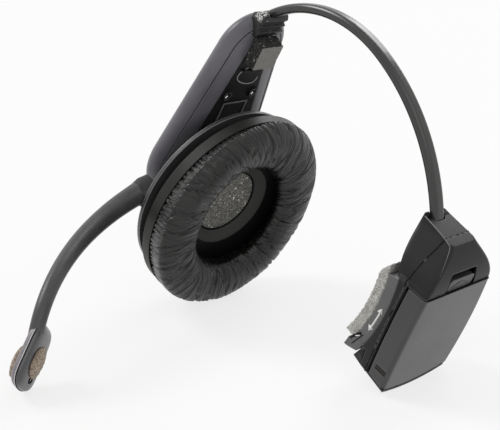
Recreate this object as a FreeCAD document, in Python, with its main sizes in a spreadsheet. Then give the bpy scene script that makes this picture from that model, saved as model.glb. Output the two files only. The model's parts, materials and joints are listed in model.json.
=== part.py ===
import FreeCAD, Part
import math
import os
import Sketcher
from FreeCAD import Placement, Rotation, Vector
from types import SimpleNamespace

# Single-ear wireless intercom headset, standing on its ear cushion, microphone tip and battery housing.
# The ear frame has its origin at the middle of the cushion's seam, X along the ear axis towards the
# battery, Y across and Z up the pod. The pod frame is the ear frame turned by pod_tilt about Y.
# All sizes are millimetres and degrees.

SIZES = {
    "lean": 22.73,
    "pod_tilt": 9.3,
    # ear cup
    "skirt_radius": 43.95,
    "skirt_depth": 4.8,
    "cup_radius": 38.0,
    "cup_depth": 10.6,
    "cup_wall": 2.0,
    "cup_floor": 1.5,
    "well_radius": 15.5,
    "well_floor": 1.5,
    "bearing_radius": 18.0,
    "running_clearance": 0.05,
    "axial_play": 0.3,
    "fit_gap": 0.1,
    "baffle_thickness": 1.5,
    "baffle_hole_radius": 19.5,
    "speaker_radius": 14.7,
    "speaker_dish_depth": 3.3,
    "dish_wall": 1.3,
    "speaker_foam_thickness": 1.0,
    "driver_frame_thickness": 0.9,
    "magnet_radius": 12.0,
    "cushion_ring_radius": 33.0,
    "cushion_height": 4.5,
    "cushion_half_height": 9.0,
    "cushion_half_width": 11.0,
    # boom ring and boom
    "ring_radius": 41.3,
    "ring_thickness": 1.6,
    "boom_base_depth": 18.0,
    "boom_base_side": 39.3,
    "boom_base_rise": 5.4,
    "boom_base_slope": 25.8,
    "boom_base_radius": 4.65,
    "boom_tip_radius": 2.75,
    "boom_first_pull": 29.0,
    "boom_second_depth": 13.7,
    "boom_second_side": 101.7,
    "boom_second_rise": 6.3,
    "boom_tip_depth": 22.1,
    "boom_tip_side": 106.8,
    "boom_tip_drop": 17.0,
    "collar_radius": 5.4,
    "collar_length": 11.0,
    "boom_socket_depth": 3.0,
    "boom_taper": 1.6,
    "collar_inset": 8.0,
    "collar_block_half": 4.0,
    "mic_tip_along": 26.6,
    "mic_tip_side": 111.0,
    "mic_tip_drop": 34.9,
    "mic_neck_radius": 4.2,
    # microphone head
    "mic_length": 25.1,
    "mic_width": 13.6,
    "mic_shell_depth": 3.1,
    "mic_rounding": 1.2,
    "mic_foam_radius": 6.4,
    "mic_foam_depth": 1.1,
    "mic_capsule_height": 10.9,
    "mic_top_along": 20.18,
    "mic_top_side": 106.55,
    "mic_top_drop": 11.05,
    "mouth_along": 0.735,
    "mouth_side": 0.55,
    "mouth_rise": 0.393,
    "mic_screw_radius": 0.9,
    "mic_screw_across": 1.8,
    "mic_screw_height": 4.5,
    "mic_screw_sink": 2.4,
    "mic_screw_length": 1.2,
    "mic_capsule_radius": 4.85,
    "mic_wall": 1.0,
    # pod
    "pod_low_radius": 27.3,
    "pod_top_radius": 16.4,
    "pod_low_center": 7.0,
    "pod_top_center": 63.6,
    "pod_mid_depth": 30.55,
    "pod_part_depth": 26.8,
    "pod_inner_round": 11.3,
    "pod_inner_rise": 5.24,
    "pod_outer_round": 13.7,
    "pod_outer_rise": 6.33,
    "pod_wall": 1.8,
    "panel_thickness": 0.5,
    "panel_inset": 10.7,
    "hub_radius": 15.0,
    "hub_rim_radius": 22.0,
    "hub_rim_thickness": 1.5,
    "clamp_half_width": 6.4,
    "clamp_bottom": 73.15,
    "clamp_back": 30.1,
    "clamp_front": 24.9,
    "clamp_rib_depth": 1.3,
    "clamp_rib_pitch": 2.65,
    "clamp_rib_gap": 0.7,
    "clamp_top": 82.6,
    "clamp_hood": 85.2,
    "screw_side": 6.9,
    "screw_height": 43.8,
    "screw_radius": 1.0,
    "screw_head_radius": 2.0,
    "screw_length": 3.6,
    "foam_block_face": 19.3,
    "foam_block_low": 61.0,
    "foam_block_face_top": 71.9,
    "foam_block_width": 11.6,
    "label_half": 6.5,
    "label_low": 22.0,
    "label_top": 39.4,
    "label_line": 0.6,
    "label_thickness": 0.25,
    "board_half_width": 11.0,
    "board_depth": 31.5,
    "board_thickness": 1.6,
    "board_drop": 10.0,
    "board_top": 60.0,
    "pillar_radius": 2.0,
    "pillar_side": 8.5,
    "pillar_drop": 4.0,
    "pillar_top": 55.0,
    "power_height": 62.0,
    "power_radius": 2.6,
    "volume_up_height": 50.0,
    "volume_down_height": 40.0,
    "volume_radius": 3.5,
    "talk_height": 14.0,
    "talk_radius": 9.0,
    "indicator_height": 56.5,
    "indicator_radius": 1.2,
    "button_bevel": 0.4,
    "button_flange": 0.8,
    "button_stem_radius": 1.5,
    "button_travel": 0.6,
    "button_stand": 0.9,
    "button_gap": 0.15,
    # headband
    "band_width": 5.6,
    "band_thickness": 3.6,
    "band_apex_along": 25.35,
    "band_apex_height": 101.26,
    "band_left_radius": 54.2,
    "band_right_radius": 56.7,
    "band_far_radius": 79.0,
    "band_hidden_radius": 100.0,
    "band_left_angle": 59.6,
    "band_joint_angle": 17.2,
    "band_slot_angle": 60.64,
    "band_end_angle": 70.4,
    "sweep_spare": 1.0,
    # battery housing
    "housing_head_side": 85.5,
    "housing_shift": 0.9,
    "shoulder_base_back": 93.0,
    "shoulder_low_back": 90.5,
    "shoulder_mid_back": 88.0,
    "shoulder_high_back": 85.8,
    "housing_part_plane": 97.4,
    "housing_half_width": 18.3,
    "housing_shoulder_base": 43.7,
    "housing_wall": 1.8,
    "shoulder_wall": 1.2,
    "cap_thickness": 4.0,
    "housing_strip_front": 98.3,
    "housing_front": 107.0,
    "slide_center_along": 27.3,
    "slide_center_height": 30.6,
    "slide_radius": 67.9,
    "slide_gap": 0.3,
    "bracket_thickness": 4.4,
    "temple_foam_thickness": 3.7,
    "tab_depth": 3.0,
    "tab_top_angle": 21.5,
    "tab_low_angle": 25.5,
    "battery_back": 99.3,
    "battery_front": 107.2,
    "battery_low": 1.55,
    "bottom_bow": 2.2,
    "bottom_reach": 8.0,
    "lip_gap": 0.15,
    "lip_floor": 0.8,
    "lip_overhang": 0.3,
    "lip_block_top": 6.2,
    "side_window_back": 100.7,
    "side_window_front": 105.9,
    "side_window_low": 6.9,
    "side_window_top": 9.2,
    "side_window_depth": 0.5,
    "contact_low": 28.0,
    "contact_top": 34.0,
    "contact_width": 12.0,
    "battery_top": 43.3,
    "latch_travel": 2.2,
    "shoulder_low_rise": 4.9,
    "shoulder_low_front": 106.5,
    "shoulder_low_half": 15.6,
    "shoulder_mid_rise": 9.8,
    "shoulder_mid_front": 104.9,
    "shoulder_mid_half": 11.8,
    "shoulder_high_rise": 14.8,
    "shoulder_high_front": 102.0,
    "shoulder_high_half": 7.4,
    "shoulder_top_rise": 19.2,
    "shoulder_top_front": 98.5,
    "shoulder_top_half": 5.6,
    "shoulder_corner": 1.5,
    "cap_head_height": 62.4,
    "cap_front_height": 59.6,
    "cap_front_along": 101.3,
    "lip_root_height": 3.1,
    "lip_root_along": 94.6,
    "lip_thickness": 1.8,
    "window_depth": 3.0,
    "window_height": 7.3,
    "window_low_half": 8.5,
    "window_top_half": 7.0,
    "window_corner": 1.6,
    "latch_gap": 0.2,
    "bracket_top_angle": 10.4,
    "bracket_low_angle": 23.0,
    "foam_top_angle": 16.0,
    "foam_low_angle": 20.0,
    "pad_half_width": 17.0,
}

doc = FreeCAD.newDocument("intercom_headset")
sheet = doc.addObject("Spreadsheet::Sheet", "sizes")
for row, (alias, number) in enumerate(SIZES.items(), start=1):
    sheet.set(f"A{row}", alias)
    sheet.set(f"B{row}", str(number))
    sheet.setAlias(f"B{row}", alias)
doc.recompute()


class Size:
    """A number together with the sheet formula that gives it."""

    def __init__(self, value, formula):
        self.value = value
        self.formula = formula

    def __add__(self, other):
        return Size(self.value + value_of(other), f"({self.formula} + {formula_of(other)})")

    def __sub__(self, other):
        return Size(self.value - value_of(other), f"({self.formula} - {formula_of(other)})")

    def __mul__(self, other):
        return Size(self.value * value_of(other), f"({self.formula} * {formula_of(other)})")

    def __truediv__(self, other):
        return Size(self.value / value_of(other), f"({self.formula} / {formula_of(other)})")

    def __neg__(self):
        return Size(-self.value, f"(0 - {self.formula})")

    def __rsub__(self, other):
        return -self + other

    __radd__ = __add__
    __rmul__ = __mul__


def value_of(thing):
    return thing.value if isinstance(thing, Size) else float(thing)


def formula_of(thing):
    return thing.formula if isinstance(thing, Size) else str(float(thing))


def root(thing):
    return Size(math.sqrt(thing.value), f"sqrt({thing.formula})")


def sine(angle):
    return Size(math.sin(math.radians(angle.value)), f"sin({angle.formula})")


def cosine(angle):
    return Size(math.cos(math.radians(angle.value)), f"cos({angle.formula})")


s = SimpleNamespace(**{alias: Size(float(getattr(sheet, alias)), f"sizes.{alias}") for alias in SIZES})

EAR = Placement(Vector(), Rotation(Vector(0, 1, 0), s.lean.value))
POD = EAR.multiply(Placement(Vector(), Rotation(Vector(0, 1, 0), s.pod_tilt.value)))
kept = {}


def body(label, frame):
    made = doc.addObject("PartDesign::Body", label)
    made.Label = label
    made.Placement = frame
    kept[label] = made
    return made


def sketch(owner, role, level=0.0):
    plane = [feature for feature in owner.Origin.OriginFeatures if feature.Role == role][0]
    made = owner.newObject("Sketcher::SketchObject", "Profile")
    made.AttachmentSupport = [(plane, "")]
    made.MapMode = "FlatFace"
    made.AttachmentOffset = Placement(Vector(0, 0, value_of(level)), Rotation())
    made.setExpression("AttachmentOffset.Base.z", formula_of(level))
    return made


def measure(made, kind, first, size):
    number = made.addConstraint(Sketcher.Constraint(kind, *first, value_of(size)))
    if isinstance(size, Size):
        made.setExpression(f"Constraints[{number}]", size.formula)


def pin(made, edge, end, across, up):
    """Hold a point of the sketch at its distances from the sketch's origin."""
    for kind, axis, size in (("DistanceX", -2, across), ("DistanceY", -1, up)):
        if isinstance(size, Size) or size != 0:
            measure(made, kind, (-1, 1, edge, end), size)
        else:
            made.addConstraint(Sketcher.Constraint("PointOnObject", edge, end, axis))


def path(made, corners, closed=True):
    """Join corners (across, up) in turn; a third value bends the edge that follows to that radius,
    turning left when it is positive and right when it is negative."""
    spots = [Vector(value_of(corner[0]), value_of(corner[1]), 0) for corner in corners]
    last = len(corners) if closed else len(corners) - 1
    ends = []
    for index in range(last):
        begin, stop = spots[index], spots[(index + 1) % len(spots)]
        if len(corners[index]) == 2:
            ends.append((made.addGeometry(Part.LineSegment(begin, stop), False), 1, 2))
            continue
        radius = value_of(corners[index][2])
        chord = stop - begin
        rise = math.sqrt(max(radius * radius - chord.Length ** 2 / 4, 0.0))
        left = Vector(-chord.y, chord.x, 0).normalize()
        center = (begin + stop) * 0.5 + left * math.copysign(rise, radius)
        first, second = (begin, stop) if radius > 0 else (stop, begin)
        angles = [math.atan2(spot.y - center.y, spot.x - center.x) for spot in (first, second)]
        if angles[1] < angles[0]:
            angles[1] += 2 * math.pi
        circle = Part.Circle(center, Vector(0, 0, 1), abs(radius))
        edge = made.addGeometry(Part.ArcOfCircle(circle, *angles), False)
        ends.append((edge, 1, 2) if radius > 0 else (edge, 2, 1))
    for index in range(last):
        edge, begin_end, stop_end = ends[index]
        pin(made, edge, begin_end, corners[index][0], corners[index][1])
        if index + 1 < len(ends) or closed:
            after = ends[(index + 1) % len(ends)]
            made.addConstraint(Sketcher.Constraint("Coincident", edge, stop_end, after[0], after[1]))
        else:
            pin(made, edge, stop_end, corners[-1][0], corners[-1][1])
        if len(corners[index]) == 3:
            size = corners[index][2]
            measure(made, "Radius", (edge,), -size if value_of(size) < 0 else size)


def bullet(made, low_radius, top_radius, low_center, top_center, across=0.0):
    """Two round ends joined by their common tangents, one above the other."""
    low, top = value_of(low_radius), value_of(top_radius)
    low_spot = Vector(value_of(across), value_of(low_center), 0)
    top_spot = Vector(value_of(across), value_of(top_center), 0)
    slant = math.asin((low - top) / (top_spot.y - low_spot.y))
    reach = Vector(math.cos(slant), math.sin(slant), 0)
    mirror = Vector(-reach.x, reach.y, 0)
    up = Vector(0, 0, 1)
    first = made.addGeometry(Part.ArcOfCircle(Part.Circle(low_spot, up, low), math.pi - slant,
                                              2 * math.pi + slant), False)
    right = made.addGeometry(Part.LineSegment(low_spot + reach * low, top_spot + reach * top), False)
    second = made.addGeometry(Part.ArcOfCircle(Part.Circle(top_spot, up, top), slant,
                                               math.pi - slant), False)
    left = made.addGeometry(Part.LineSegment(top_spot + mirror * top, low_spot + mirror * low), False)
    for one, two in ((first, right), (right, second), (second, left), (left, first)):
        made.addConstraint(Sketcher.Constraint("Tangent", one, 2, two, 1))
    pin(made, first, 3, across, low_center)
    pin(made, second, 3, across, top_center)
    measure(made, "Radius", (first,), low_radius)
    measure(made, "Radius", (second,), top_radius)


def disc(made, radius, across=0.0, up=0.0):
    spot = Vector(value_of(across), value_of(up), 0)
    edge = made.addGeometry(Part.Circle(spot, Vector(0, 0, 1), value_of(radius)), False)
    measure(made, "Radius", (edge,), radius)
    if value_of(across) == 0 and value_of(up) == 0:
        made.addConstraint(Sketcher.Constraint("Coincident", edge, 3, -1, 1))
    else:
        pin(made, edge, 3, across, up)


def panel_outline(made, left, right, low, top):
    path(made, [(left, low), (right, low), (right, top), (left, top)])


def pad(owner, made, length, symmetric=False, reverse=False, cut=False):
    feature = owner.newObject("PartDesign::Pocket" if cut else "PartDesign::Pad", "Feature")
    feature.Profile = made
    if symmetric:
        feature.SideType = "Symmetric"
    feature.Reversed = reverse
    feature.setExpression("Length", formula_of(length))
    owner.Tip = feature
    return feature


def revolve(owner, made, cut=False, axis="H_Axis", sweep=360.0, reverse=False):
    feature = owner.newObject("PartDesign::Groove" if cut else "PartDesign::Revolution", "Turned")
    feature.Profile = made
    feature.ReferenceAxis = (made, [axis])
    feature.Reversed = reverse
    feature.Angle = value_of(sweep)
    feature.setExpression("Angle", formula_of(sweep))
    owner.Tip = feature
    return feature


def loft(owner, sections, cut=False):
    feature = owner.newObject("PartDesign::SubtractiveLoft" if cut else "PartDesign::AdditiveLoft", "Loft")
    feature.Profile = sections[0]
    feature.Sections = sections[1:]
    owner.Tip = feature
    return feature


def turned(label, frame, corners):
    """A piece turned about the ear axis, from its outline (along the axis, radius)."""
    made = body(label, frame)
    outline = sketch(made, "XZ_Plane")
    path(outline, corners)
    revolve(made, outline)
    return made


def slab(label, frame, corners, width):
    """A piece of even width across, from its side outline."""
    made = body(label, frame)
    outline = sketch(made, "XZ_Plane")
    path(outline, corners)
    pad(made, outline, width, symmetric=True)
    return made


# Ear cup: a shallow dish with a boss on its back that carries the boom ring, and a well in the boss
# that takes the loudspeaker's magnet.
ring_back = s.cup_depth + s.axial_play + s.ring_thickness
hub_face = ring_back + s.axial_play
cup_inside = s.cup_radius - s.cup_wall
turned("ear_cup", EAR, [
    (-hub_face, 0), (-(hub_face - s.well_floor), 0), (-(hub_face - s.well_floor), s.well_radius),
    (-(s.cup_depth - s.cup_floor), s.well_radius), (-(s.cup_depth - s.cup_floor), cup_inside),
    (-s.skirt_depth, cup_inside), (-s.skirt_depth, s.cup_radius), (-s.cup_depth, s.cup_radius),
    (-s.cup_depth, s.bearing_radius), (-hub_face, s.bearing_radius)])

# Cushion skirt: the ring that the ear cushion is stretched over.
turned("cushion_skirt", EAR, [
    (-s.skirt_depth, cup_inside), (-s.skirt_depth, s.skirt_radius), (0, s.skirt_radius), (0, cup_inside)])

# Baffle plate, with the grey dished ring, the foam disc and the loudspeaker in its hole.
plate_front = s.skirt_depth - s.baffle_thickness
turned("baffle_plate", EAR, [
    (-s.skirt_depth, s.baffle_hole_radius), (-s.skirt_depth, cup_inside - s.fit_gap),
    (-plate_front, cup_inside - s.fit_gap), (-plate_front, s.baffle_hole_radius)])
dish_bottom = plate_front + s.speaker_dish_depth
ring_outside = s.baffle_hole_radius - s.fit_gap
turned("baffle_ring", EAR, [
    (-plate_front, ring_outside), (-dish_bottom, s.speaker_radius),
    (-(dish_bottom + s.dish_wall), s.speaker_radius), (-(plate_front + s.dish_wall), ring_outside)])
foam_back = dish_bottom + s.speaker_foam_thickness
turned("speaker_foam", EAR, [
    (-foam_back, 0), (-dish_bottom, 0), (-dish_bottom, s.speaker_radius - s.fit_gap),
    (-foam_back, s.speaker_radius - s.fit_gap)])
frame_front = dish_bottom + s.dish_wall + s.fit_gap
frame_back = frame_front + s.driver_frame_thickness
magnet_back = hub_face - s.well_floor - s.fit_gap
turned("speaker_driver", EAR, [
    (-magnet_back, 0), (-(foam_back + s.fit_gap), 0), (-frame_front, s.magnet_radius),
    (-frame_front, s.well_radius - s.fit_gap), (-frame_back, s.well_radius - s.fit_gap),
    (-frame_back, s.magnet_radius), (-magnet_back, s.magnet_radius)])

# Ear cushion: a plain ring of oval section, flat where it sits on the skirt.
oval = doc.addObject("Part::Ellipse", "cushion_oval")
oval.setExpression("MajorRadius", s.cushion_half_width.formula)
oval.setExpression("MinorRadius", s.cushion_half_height.formula)
oval.Placement = Placement(Vector(s.cushion_height.value, 0, s.cushion_ring_radius.value),
                           Rotation(Vector(1, 1, 1), 240))
oval.setExpression("Placement.Base.x", s.cushion_height.formula)
oval.setExpression("Placement.Base.z", s.cushion_ring_radius.formula)
donut = doc.addObject("Part::Revolution", "cushion_round")
donut.Source = oval
donut.Axis = Vector(1, 0, 0)
donut.Base = Vector(0, 0, 0)
donut.Angle = 360
donut.Solid = True
seat = doc.addObject("Part::Cylinder", "cushion_seat")
seat.setExpression("Radius", (s.skirt_radius * 2).formula)
seat.setExpression("Height", s.cushion_half_height.formula)
seat.Placement = Placement(Vector(), Rotation(Vector(0, 1, 0), -90))
cushion = doc.addObject("Part::Cut", "ear_cushion")
cushion.Label = "ear_cushion"
cushion.Base = donut
cushion.Tool = seat
cushion.Placement = EAR
kept["ear_cushion"] = cushion

# Boom ring: a thin disc that turns on the cup's boss, held between the cup and the pod's hub.
turned("boom_ring", EAR, [
    (-ring_back, s.bearing_radius + s.running_clearance), (-ring_back, s.ring_radius),
    (-(s.cup_depth + s.axial_play), s.ring_radius),
    (-(s.cup_depth + s.axial_play), s.bearing_radius + s.running_clearance)])


# Pod: two shells lofted through rounded outlines, each a quarter oval from the widest plane.
def pod_section(owner, depth, inset):
    made = sketch(owner, "YZ_Plane", -depth)
    bullet(made, s.pod_low_radius - inset, s.pod_top_radius - inset, s.pod_low_center, s.pod_top_center)
    return made


def oval_inset(step, width, height):
    return width - width * root(1 - (step / height) * (step / height))


def pod_sections(owner, steps, width, height, side, extra=0.0):
    return [pod_section(owner, s.pod_mid_depth + step * side, oval_inset(step, width, height) + extra)
            for step in steps]


# Shares of the rise at which the pod's outlines stand, closer together where the side turns in.
OUTER_SHARES = (0.0, 0.4, 0.7, 0.88, 0.97)
CAVITY_SHARES = (0.0, 0.5, 0.8, 0.95)
INNER_SHARES = (0.87, 0.95, 0.99)
part_step = s.pod_mid_depth - s.pod_part_depth
outer_shell = body("pod_outer_shell", POD)
loft(outer_shell, pod_sections(outer_shell, [part_step, part_step * 0.5],
                               s.pod_inner_round, s.pod_inner_rise, -1)
     + pod_sections(outer_shell, [s.pod_outer_rise * share for share in OUTER_SHARES],
                    s.pod_outer_round, s.pod_outer_rise, 1))
loft(outer_shell, pod_sections(outer_shell, [part_step], s.pod_inner_round, s.pod_inner_rise, -1,
                               s.pod_wall)
     + pod_sections(outer_shell, [(s.pod_outer_rise - s.pod_wall) * share for share in CAVITY_SHARES],
                    s.pod_outer_round - s.pod_wall, s.pod_outer_rise - s.pod_wall, 1, s.pod_wall), cut=True)


def clamp_slot(owner):
    """The gap at the top of the pod that takes the ribbed band clamp."""
    made = sketch(owner, "XZ_Plane")
    low = s.clamp_bottom - s.fit_gap
    top = s.pod_top_center + s.pod_top_radius * 2
    panel_outline(made, -(s.clamp_back + s.fit_gap), 0, low, top)
    pad(owner, made, (s.clamp_half_width + s.fit_gap) * 2, symmetric=True, cut=True)


clamp_slot(outer_shell)
inner_shell = body("pod_inner_shell", POD)
inner_steps = [part_step] + [s.pod_inner_rise * share for share in INNER_SHARES]
face_step = inner_steps[-1]
loft(inner_shell, pod_sections(inner_shell, inner_steps, s.pod_inner_round, s.pod_inner_rise, -1))
clamp_slot(inner_shell)
pod_face = s.pod_mid_depth - face_step
panel_face = pod_face - s.panel_thickness

# Inner panel, a bare label frame on it, the porous foam block and the two screws beside it.
def screw_pair(owner, depth, radius):
    made = sketch(owner, "YZ_Plane", -depth)
    for side in (-1, 1):
        disc(made, radius, s.screw_side * side, s.screw_height)
    return made


panel = body("pod_inner_panel", POD)
pad(panel, pod_section(panel, pod_face, s.panel_inset), s.panel_thickness)
for owner in (panel, inner_shell):
    pad(owner, screw_pair(owner, panel_face, s.fit_gap + s.screw_radius), s.screw_length, cut=True)
screws = body("panel_screws", POD)
pad(screws, screw_pair(screws, panel_face, s.screw_head_radius), s.button_flange)
pad(screws, screw_pair(screws, panel_face, s.screw_radius), s.screw_length, reverse=True)
slab("foam_block", POD, [
    (-panel_face, s.foam_block_low), (-s.foam_block_face, s.foam_block_low),
    (-s.foam_block_face, s.foam_block_face_top), (-panel_face, s.clamp_bottom - s.fit_gap * 2)],
     s.foam_block_width)
frame_piece = body("label_frame", POD)
frame_outline = sketch(frame_piece, "YZ_Plane", -panel_face)
panel_outline(frame_outline, -s.label_half, s.label_half, s.label_low, s.label_top)
panel_outline(frame_outline, s.label_line - s.label_half, s.label_half - s.label_line,
              s.label_low + s.label_line, s.label_top - s.label_line)
pad(frame_piece, frame_outline, s.label_thickness)

# Circuit board on four pillars of the outer shell, and the buttons that reach it through the shell.
outer_face = s.pod_mid_depth + s.pod_outer_rise * OUTER_SHARES[-1]
inner_wall = outer_face - s.pod_wall
board = body("circuit_board", POD)
board_outline = sketch(board, "YZ_Plane", -s.board_depth)
panel_outline(board_outline, -s.board_half_width, s.board_half_width, -s.board_drop, s.board_top)
pad(board, board_outline, s.board_thickness)
pillars = sketch(outer_shell, "YZ_Plane", -(s.board_depth + s.running_clearance))
for side in (-1, 1):
    for up in (-s.pillar_drop, s.pillar_top):
        disc(pillars, s.pillar_radius, s.pillar_side * side, up)
pad(outer_shell, pillars, outer_face - s.board_depth - s.pod_wall * 0.5, reverse=True)
BUTTONS = {
    "power_button": (s.power_height, s.power_radius),
    "volume_up_button": (s.volume_up_height, s.volume_radius),
    "volume_down_button": (s.volume_down_height, s.volume_radius),
    "talk_button": (s.talk_height, s.talk_radius),
}
holes = sketch(outer_shell, "YZ_Plane", -(outer_face + s.fit_gap))
for height, radius in BUTTONS.values():
    disc(holes, radius + s.button_gap, 0.0, height)
disc(holes, s.indicator_radius + s.fit_gap, 0.0, s.indicator_height)
pad(outer_shell, holes, s.pod_wall * 2, cut=True, reverse=True)
crown = outer_face + s.button_stand
flange_back = inner_wall - s.fit_gap
flange_front = flange_back - s.button_flange
stem_end = s.board_depth + s.button_travel + s.fit_gap
for label, (height, radius) in BUTTONS.items():
    place = POD.multiply(Placement(Vector(0, 0, height.value), Rotation()))
    turned(label, place, [
        (-crown, 0), (-crown, radius - s.button_bevel), (-(crown - s.button_bevel), radius),
        (-flange_back, radius), (-flange_back, radius + s.button_flange),
        (-flange_front, radius + s.button_flange), (-flange_front, s.button_stem_radius),
        (-stem_end, s.button_stem_radius), (-stem_end, 0)])
place = POD.multiply(Placement(Vector(0, 0, s.indicator_height.value), Rotation()))
turned("indicator_window", place, [
    (-outer_face, 0), (-outer_face, s.indicator_radius), (-inner_wall, s.indicator_radius), (-inner_wall, 0)])

# Swivel hub: a stub that stands on the inner panel and carries the ear cup in front of the boom ring.
hub = turned("hub_turned", Placement(), [
    (-hub_face, 0), (-hub_face, s.hub_rim_radius), (-(hub_face + s.hub_rim_thickness), s.hub_rim_radius),
    (-(hub_face + s.hub_rim_thickness), s.hub_radius), (-s.pod_mid_depth, s.hub_radius),
    (-s.pod_mid_depth, 0)])
del kept["hub_turned"]
trim = doc.addObject("Part::Box", "hub_trim")
for side in ("Length", "Width", "Height"):
    trim.setExpression(side, (s.pod_mid_depth * 2).formula)
tilt = Placement(Vector(), Rotation(Vector(0, 1, 0), s.pod_tilt.value))
trim_corner = Vector(-panel_face.value - 2 * s.pod_mid_depth.value, -s.pod_mid_depth.value,
                     -s.pod_mid_depth.value)
trim.Placement = tilt.multiply(Placement(trim_corner, Rotation()))
hub_cut = doc.addObject("Part::Cut", "swivel_hub")
hub_cut.Label = "swivel_hub"
hub_cut.Base = hub
hub_cut.Tool = trim
hub_cut.Placement = EAR
kept["swivel_hub"] = hub_cut


def stadium(made, width, thickness, up, across=0.0):
    """A band's section: flat faces above and below, round edges."""
    radius = thickness * 0.5
    reach = (width - thickness) * 0.5
    spots = [Vector(value_of(across) + side * reach.value, value_of(up), 0) for side in (-1, 1)]
    rise = Vector(0, radius.value, 0)
    normal = Vector(0, 0, 1)
    left = made.addGeometry(Part.ArcOfCircle(Part.Circle(spots[0], normal, radius.value),
                                             math.pi / 2, 3 * math.pi / 2), False)
    low = made.addGeometry(Part.LineSegment(spots[0] - rise, spots[1] - rise), False)
    right = made.addGeometry(Part.ArcOfCircle(Part.Circle(spots[1], normal, radius.value),
                                              -math.pi / 2, math.pi / 2), False)
    top = made.addGeometry(Part.LineSegment(spots[1] + rise, spots[0] + rise), False)
    for one, two in ((left, low), (low, right), (right, top), (top, left)):
        made.addConstraint(Sketcher.Constraint("Tangent", one, 2, two, 1))
    pin(made, left, 3, across - reach, up)
    pin(made, right, 3, across + reach, up)
    measure(made, "Radius", (right,), radius)


def tunnel(owner, along, height, radius, gap, sweep, across=0.0, reverse=False):
    """A bent passage for the headband, turned about the centre of the band's arc from its top."""
    made = sketch(owner, "YZ_Plane", along)
    stadium(made, s.band_width + gap * 2, s.band_thickness + gap * 2, height + radius, across)
    reach = s.housing_half_width.value
    axis = made.addGeometry(Part.LineSegment(Vector(-reach, height.value, 0),
                                             Vector(reach, height.value, 0)), True)
    made.addConstraint(Sketcher.Constraint("Horizontal", axis))
    pin(made, axis, 1, -s.housing_half_width, height)
    measure(made, "Distance", (axis, 1, axis, 2), s.housing_half_width * 2)
    revolve(owner, made, cut=True, axis="Axis0", sweep=sweep, reverse=reverse)


# Headband: one band through four tangent arcs, from inside the pod to inside the battery housing.
left_center_height = s.band_apex_height - s.band_left_radius
right_center_height = s.band_apex_height - s.band_right_radius
joint = (s.band_apex_along + s.band_right_radius * sine(s.band_joint_angle),
         right_center_height + s.band_right_radius * cosine(s.band_joint_angle))
far_center = (joint[0] - s.band_far_radius * sine(s.band_joint_angle),
              joint[1] - s.band_far_radius * cosine(s.band_joint_angle))
slot = (far_center[0] + s.band_far_radius * sine(s.band_slot_angle),
        far_center[1] + s.band_far_radius * cosine(s.band_slot_angle))
hidden_center = (slot[0] - s.band_hidden_radius * sine(s.band_slot_angle),
                 slot[1] - s.band_hidden_radius * cosine(s.band_slot_angle))
band_end = (hidden_center[0] + s.band_hidden_radius * sine(s.band_end_angle),
            hidden_center[1] + s.band_hidden_radius * cosine(s.band_end_angle))
band_start = (s.band_apex_along - s.band_left_radius * sine(s.band_left_angle),
              left_center_height + s.band_left_radius * cosine(s.band_left_angle))
apex = (s.band_apex_along, s.band_apex_height)
band = body("headband_tube", EAR)
band_routes = [
    [(apex[0], apex[1], s.band_left_radius), band_start],
    [(apex[0], apex[1], -s.band_right_radius), (joint[0], joint[1], -s.band_far_radius),
     (slot[0], slot[1], -s.band_hidden_radius), band_end]]
for corners in band_routes:
    route = sketch(band, "XZ_Plane")
    path(route, corners, closed=False)
    section = sketch(band, "YZ_Plane", s.band_apex_along)
    stadium(section, s.band_width, s.band_thickness, s.band_apex_height)
    pipe = band.newObject("PartDesign::AdditivePipe", "Band")
    pipe.Profile = section
    pipe.Spine = route
    band.Tip = pipe

# Band clamp: the ribbed piece at the pod's top that holds the band's lower end.
CLAMP_RIBS = 3
rib_corners = []
for rib in range(CLAMP_RIBS):
    tip_height = s.clamp_bottom + s.clamp_rib_pitch * (rib + 1)
    rib_corners.append((s.clamp_rib_depth - s.clamp_front, tip_height))
    if rib + 1 < CLAMP_RIBS:
        rib_corners.append((-s.clamp_front, tip_height + s.clamp_rib_gap))
clamp = slab("band_clamp", POD, [
    (-s.clamp_back, s.clamp_bottom), (-s.clamp_front, s.clamp_bottom), *rib_corners,
    (s.clamp_rib_depth * 0.5 - s.clamp_front, s.clamp_top), (s.clamp_rib_depth - s.clamp_back, s.clamp_hood),
    (-s.clamp_back, s.clamp_hood)], s.clamp_half_width * 2)
for owner in (clamp, outer_shell):
    tunnel(owner, s.band_apex_along * cosine(s.pod_tilt) - left_center_height * sine(s.pod_tilt),
           s.band_apex_along * sine(s.pod_tilt) + left_center_height * cosine(s.pod_tilt),
           s.band_left_radius, s.running_clearance, s.band_left_angle + s.pod_tilt + s.sweep_spare, reverse=True)


# Battery housing: a shoulder that narrows towards a sloping cap, parted into a back and a front shell.
HOUSING = EAR.multiply(Placement(Vector(0, s.housing_shift.value, 0), Rotation()))


def plan_outline(owner, level, back, front, half, shift=0.0, inset=0.0, back_corner=0.0):
    """A level outline with rounded corners in front, and behind where back_corner is given."""
    made = sketch(owner, "XY_Plane", level)
    left, right, corner = back + inset, front - inset, s.shoulder_corner
    near, far = shift - half + inset, shift + half - inset
    front_part = [(right - corner, near, corner), (right, near + corner), (right, far - corner, corner),
                  (right - corner, far)]
    if value_of(back_corner) == 0:
        path(made, front_part + [(left, far), (left, near)])
    else:
        path(made, front_part + [(left + back_corner, far, back_corner), (left, far - back_corner),
                                 (left, near + back_corner, back_corner), (left + back_corner, near)])
    return made


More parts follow.
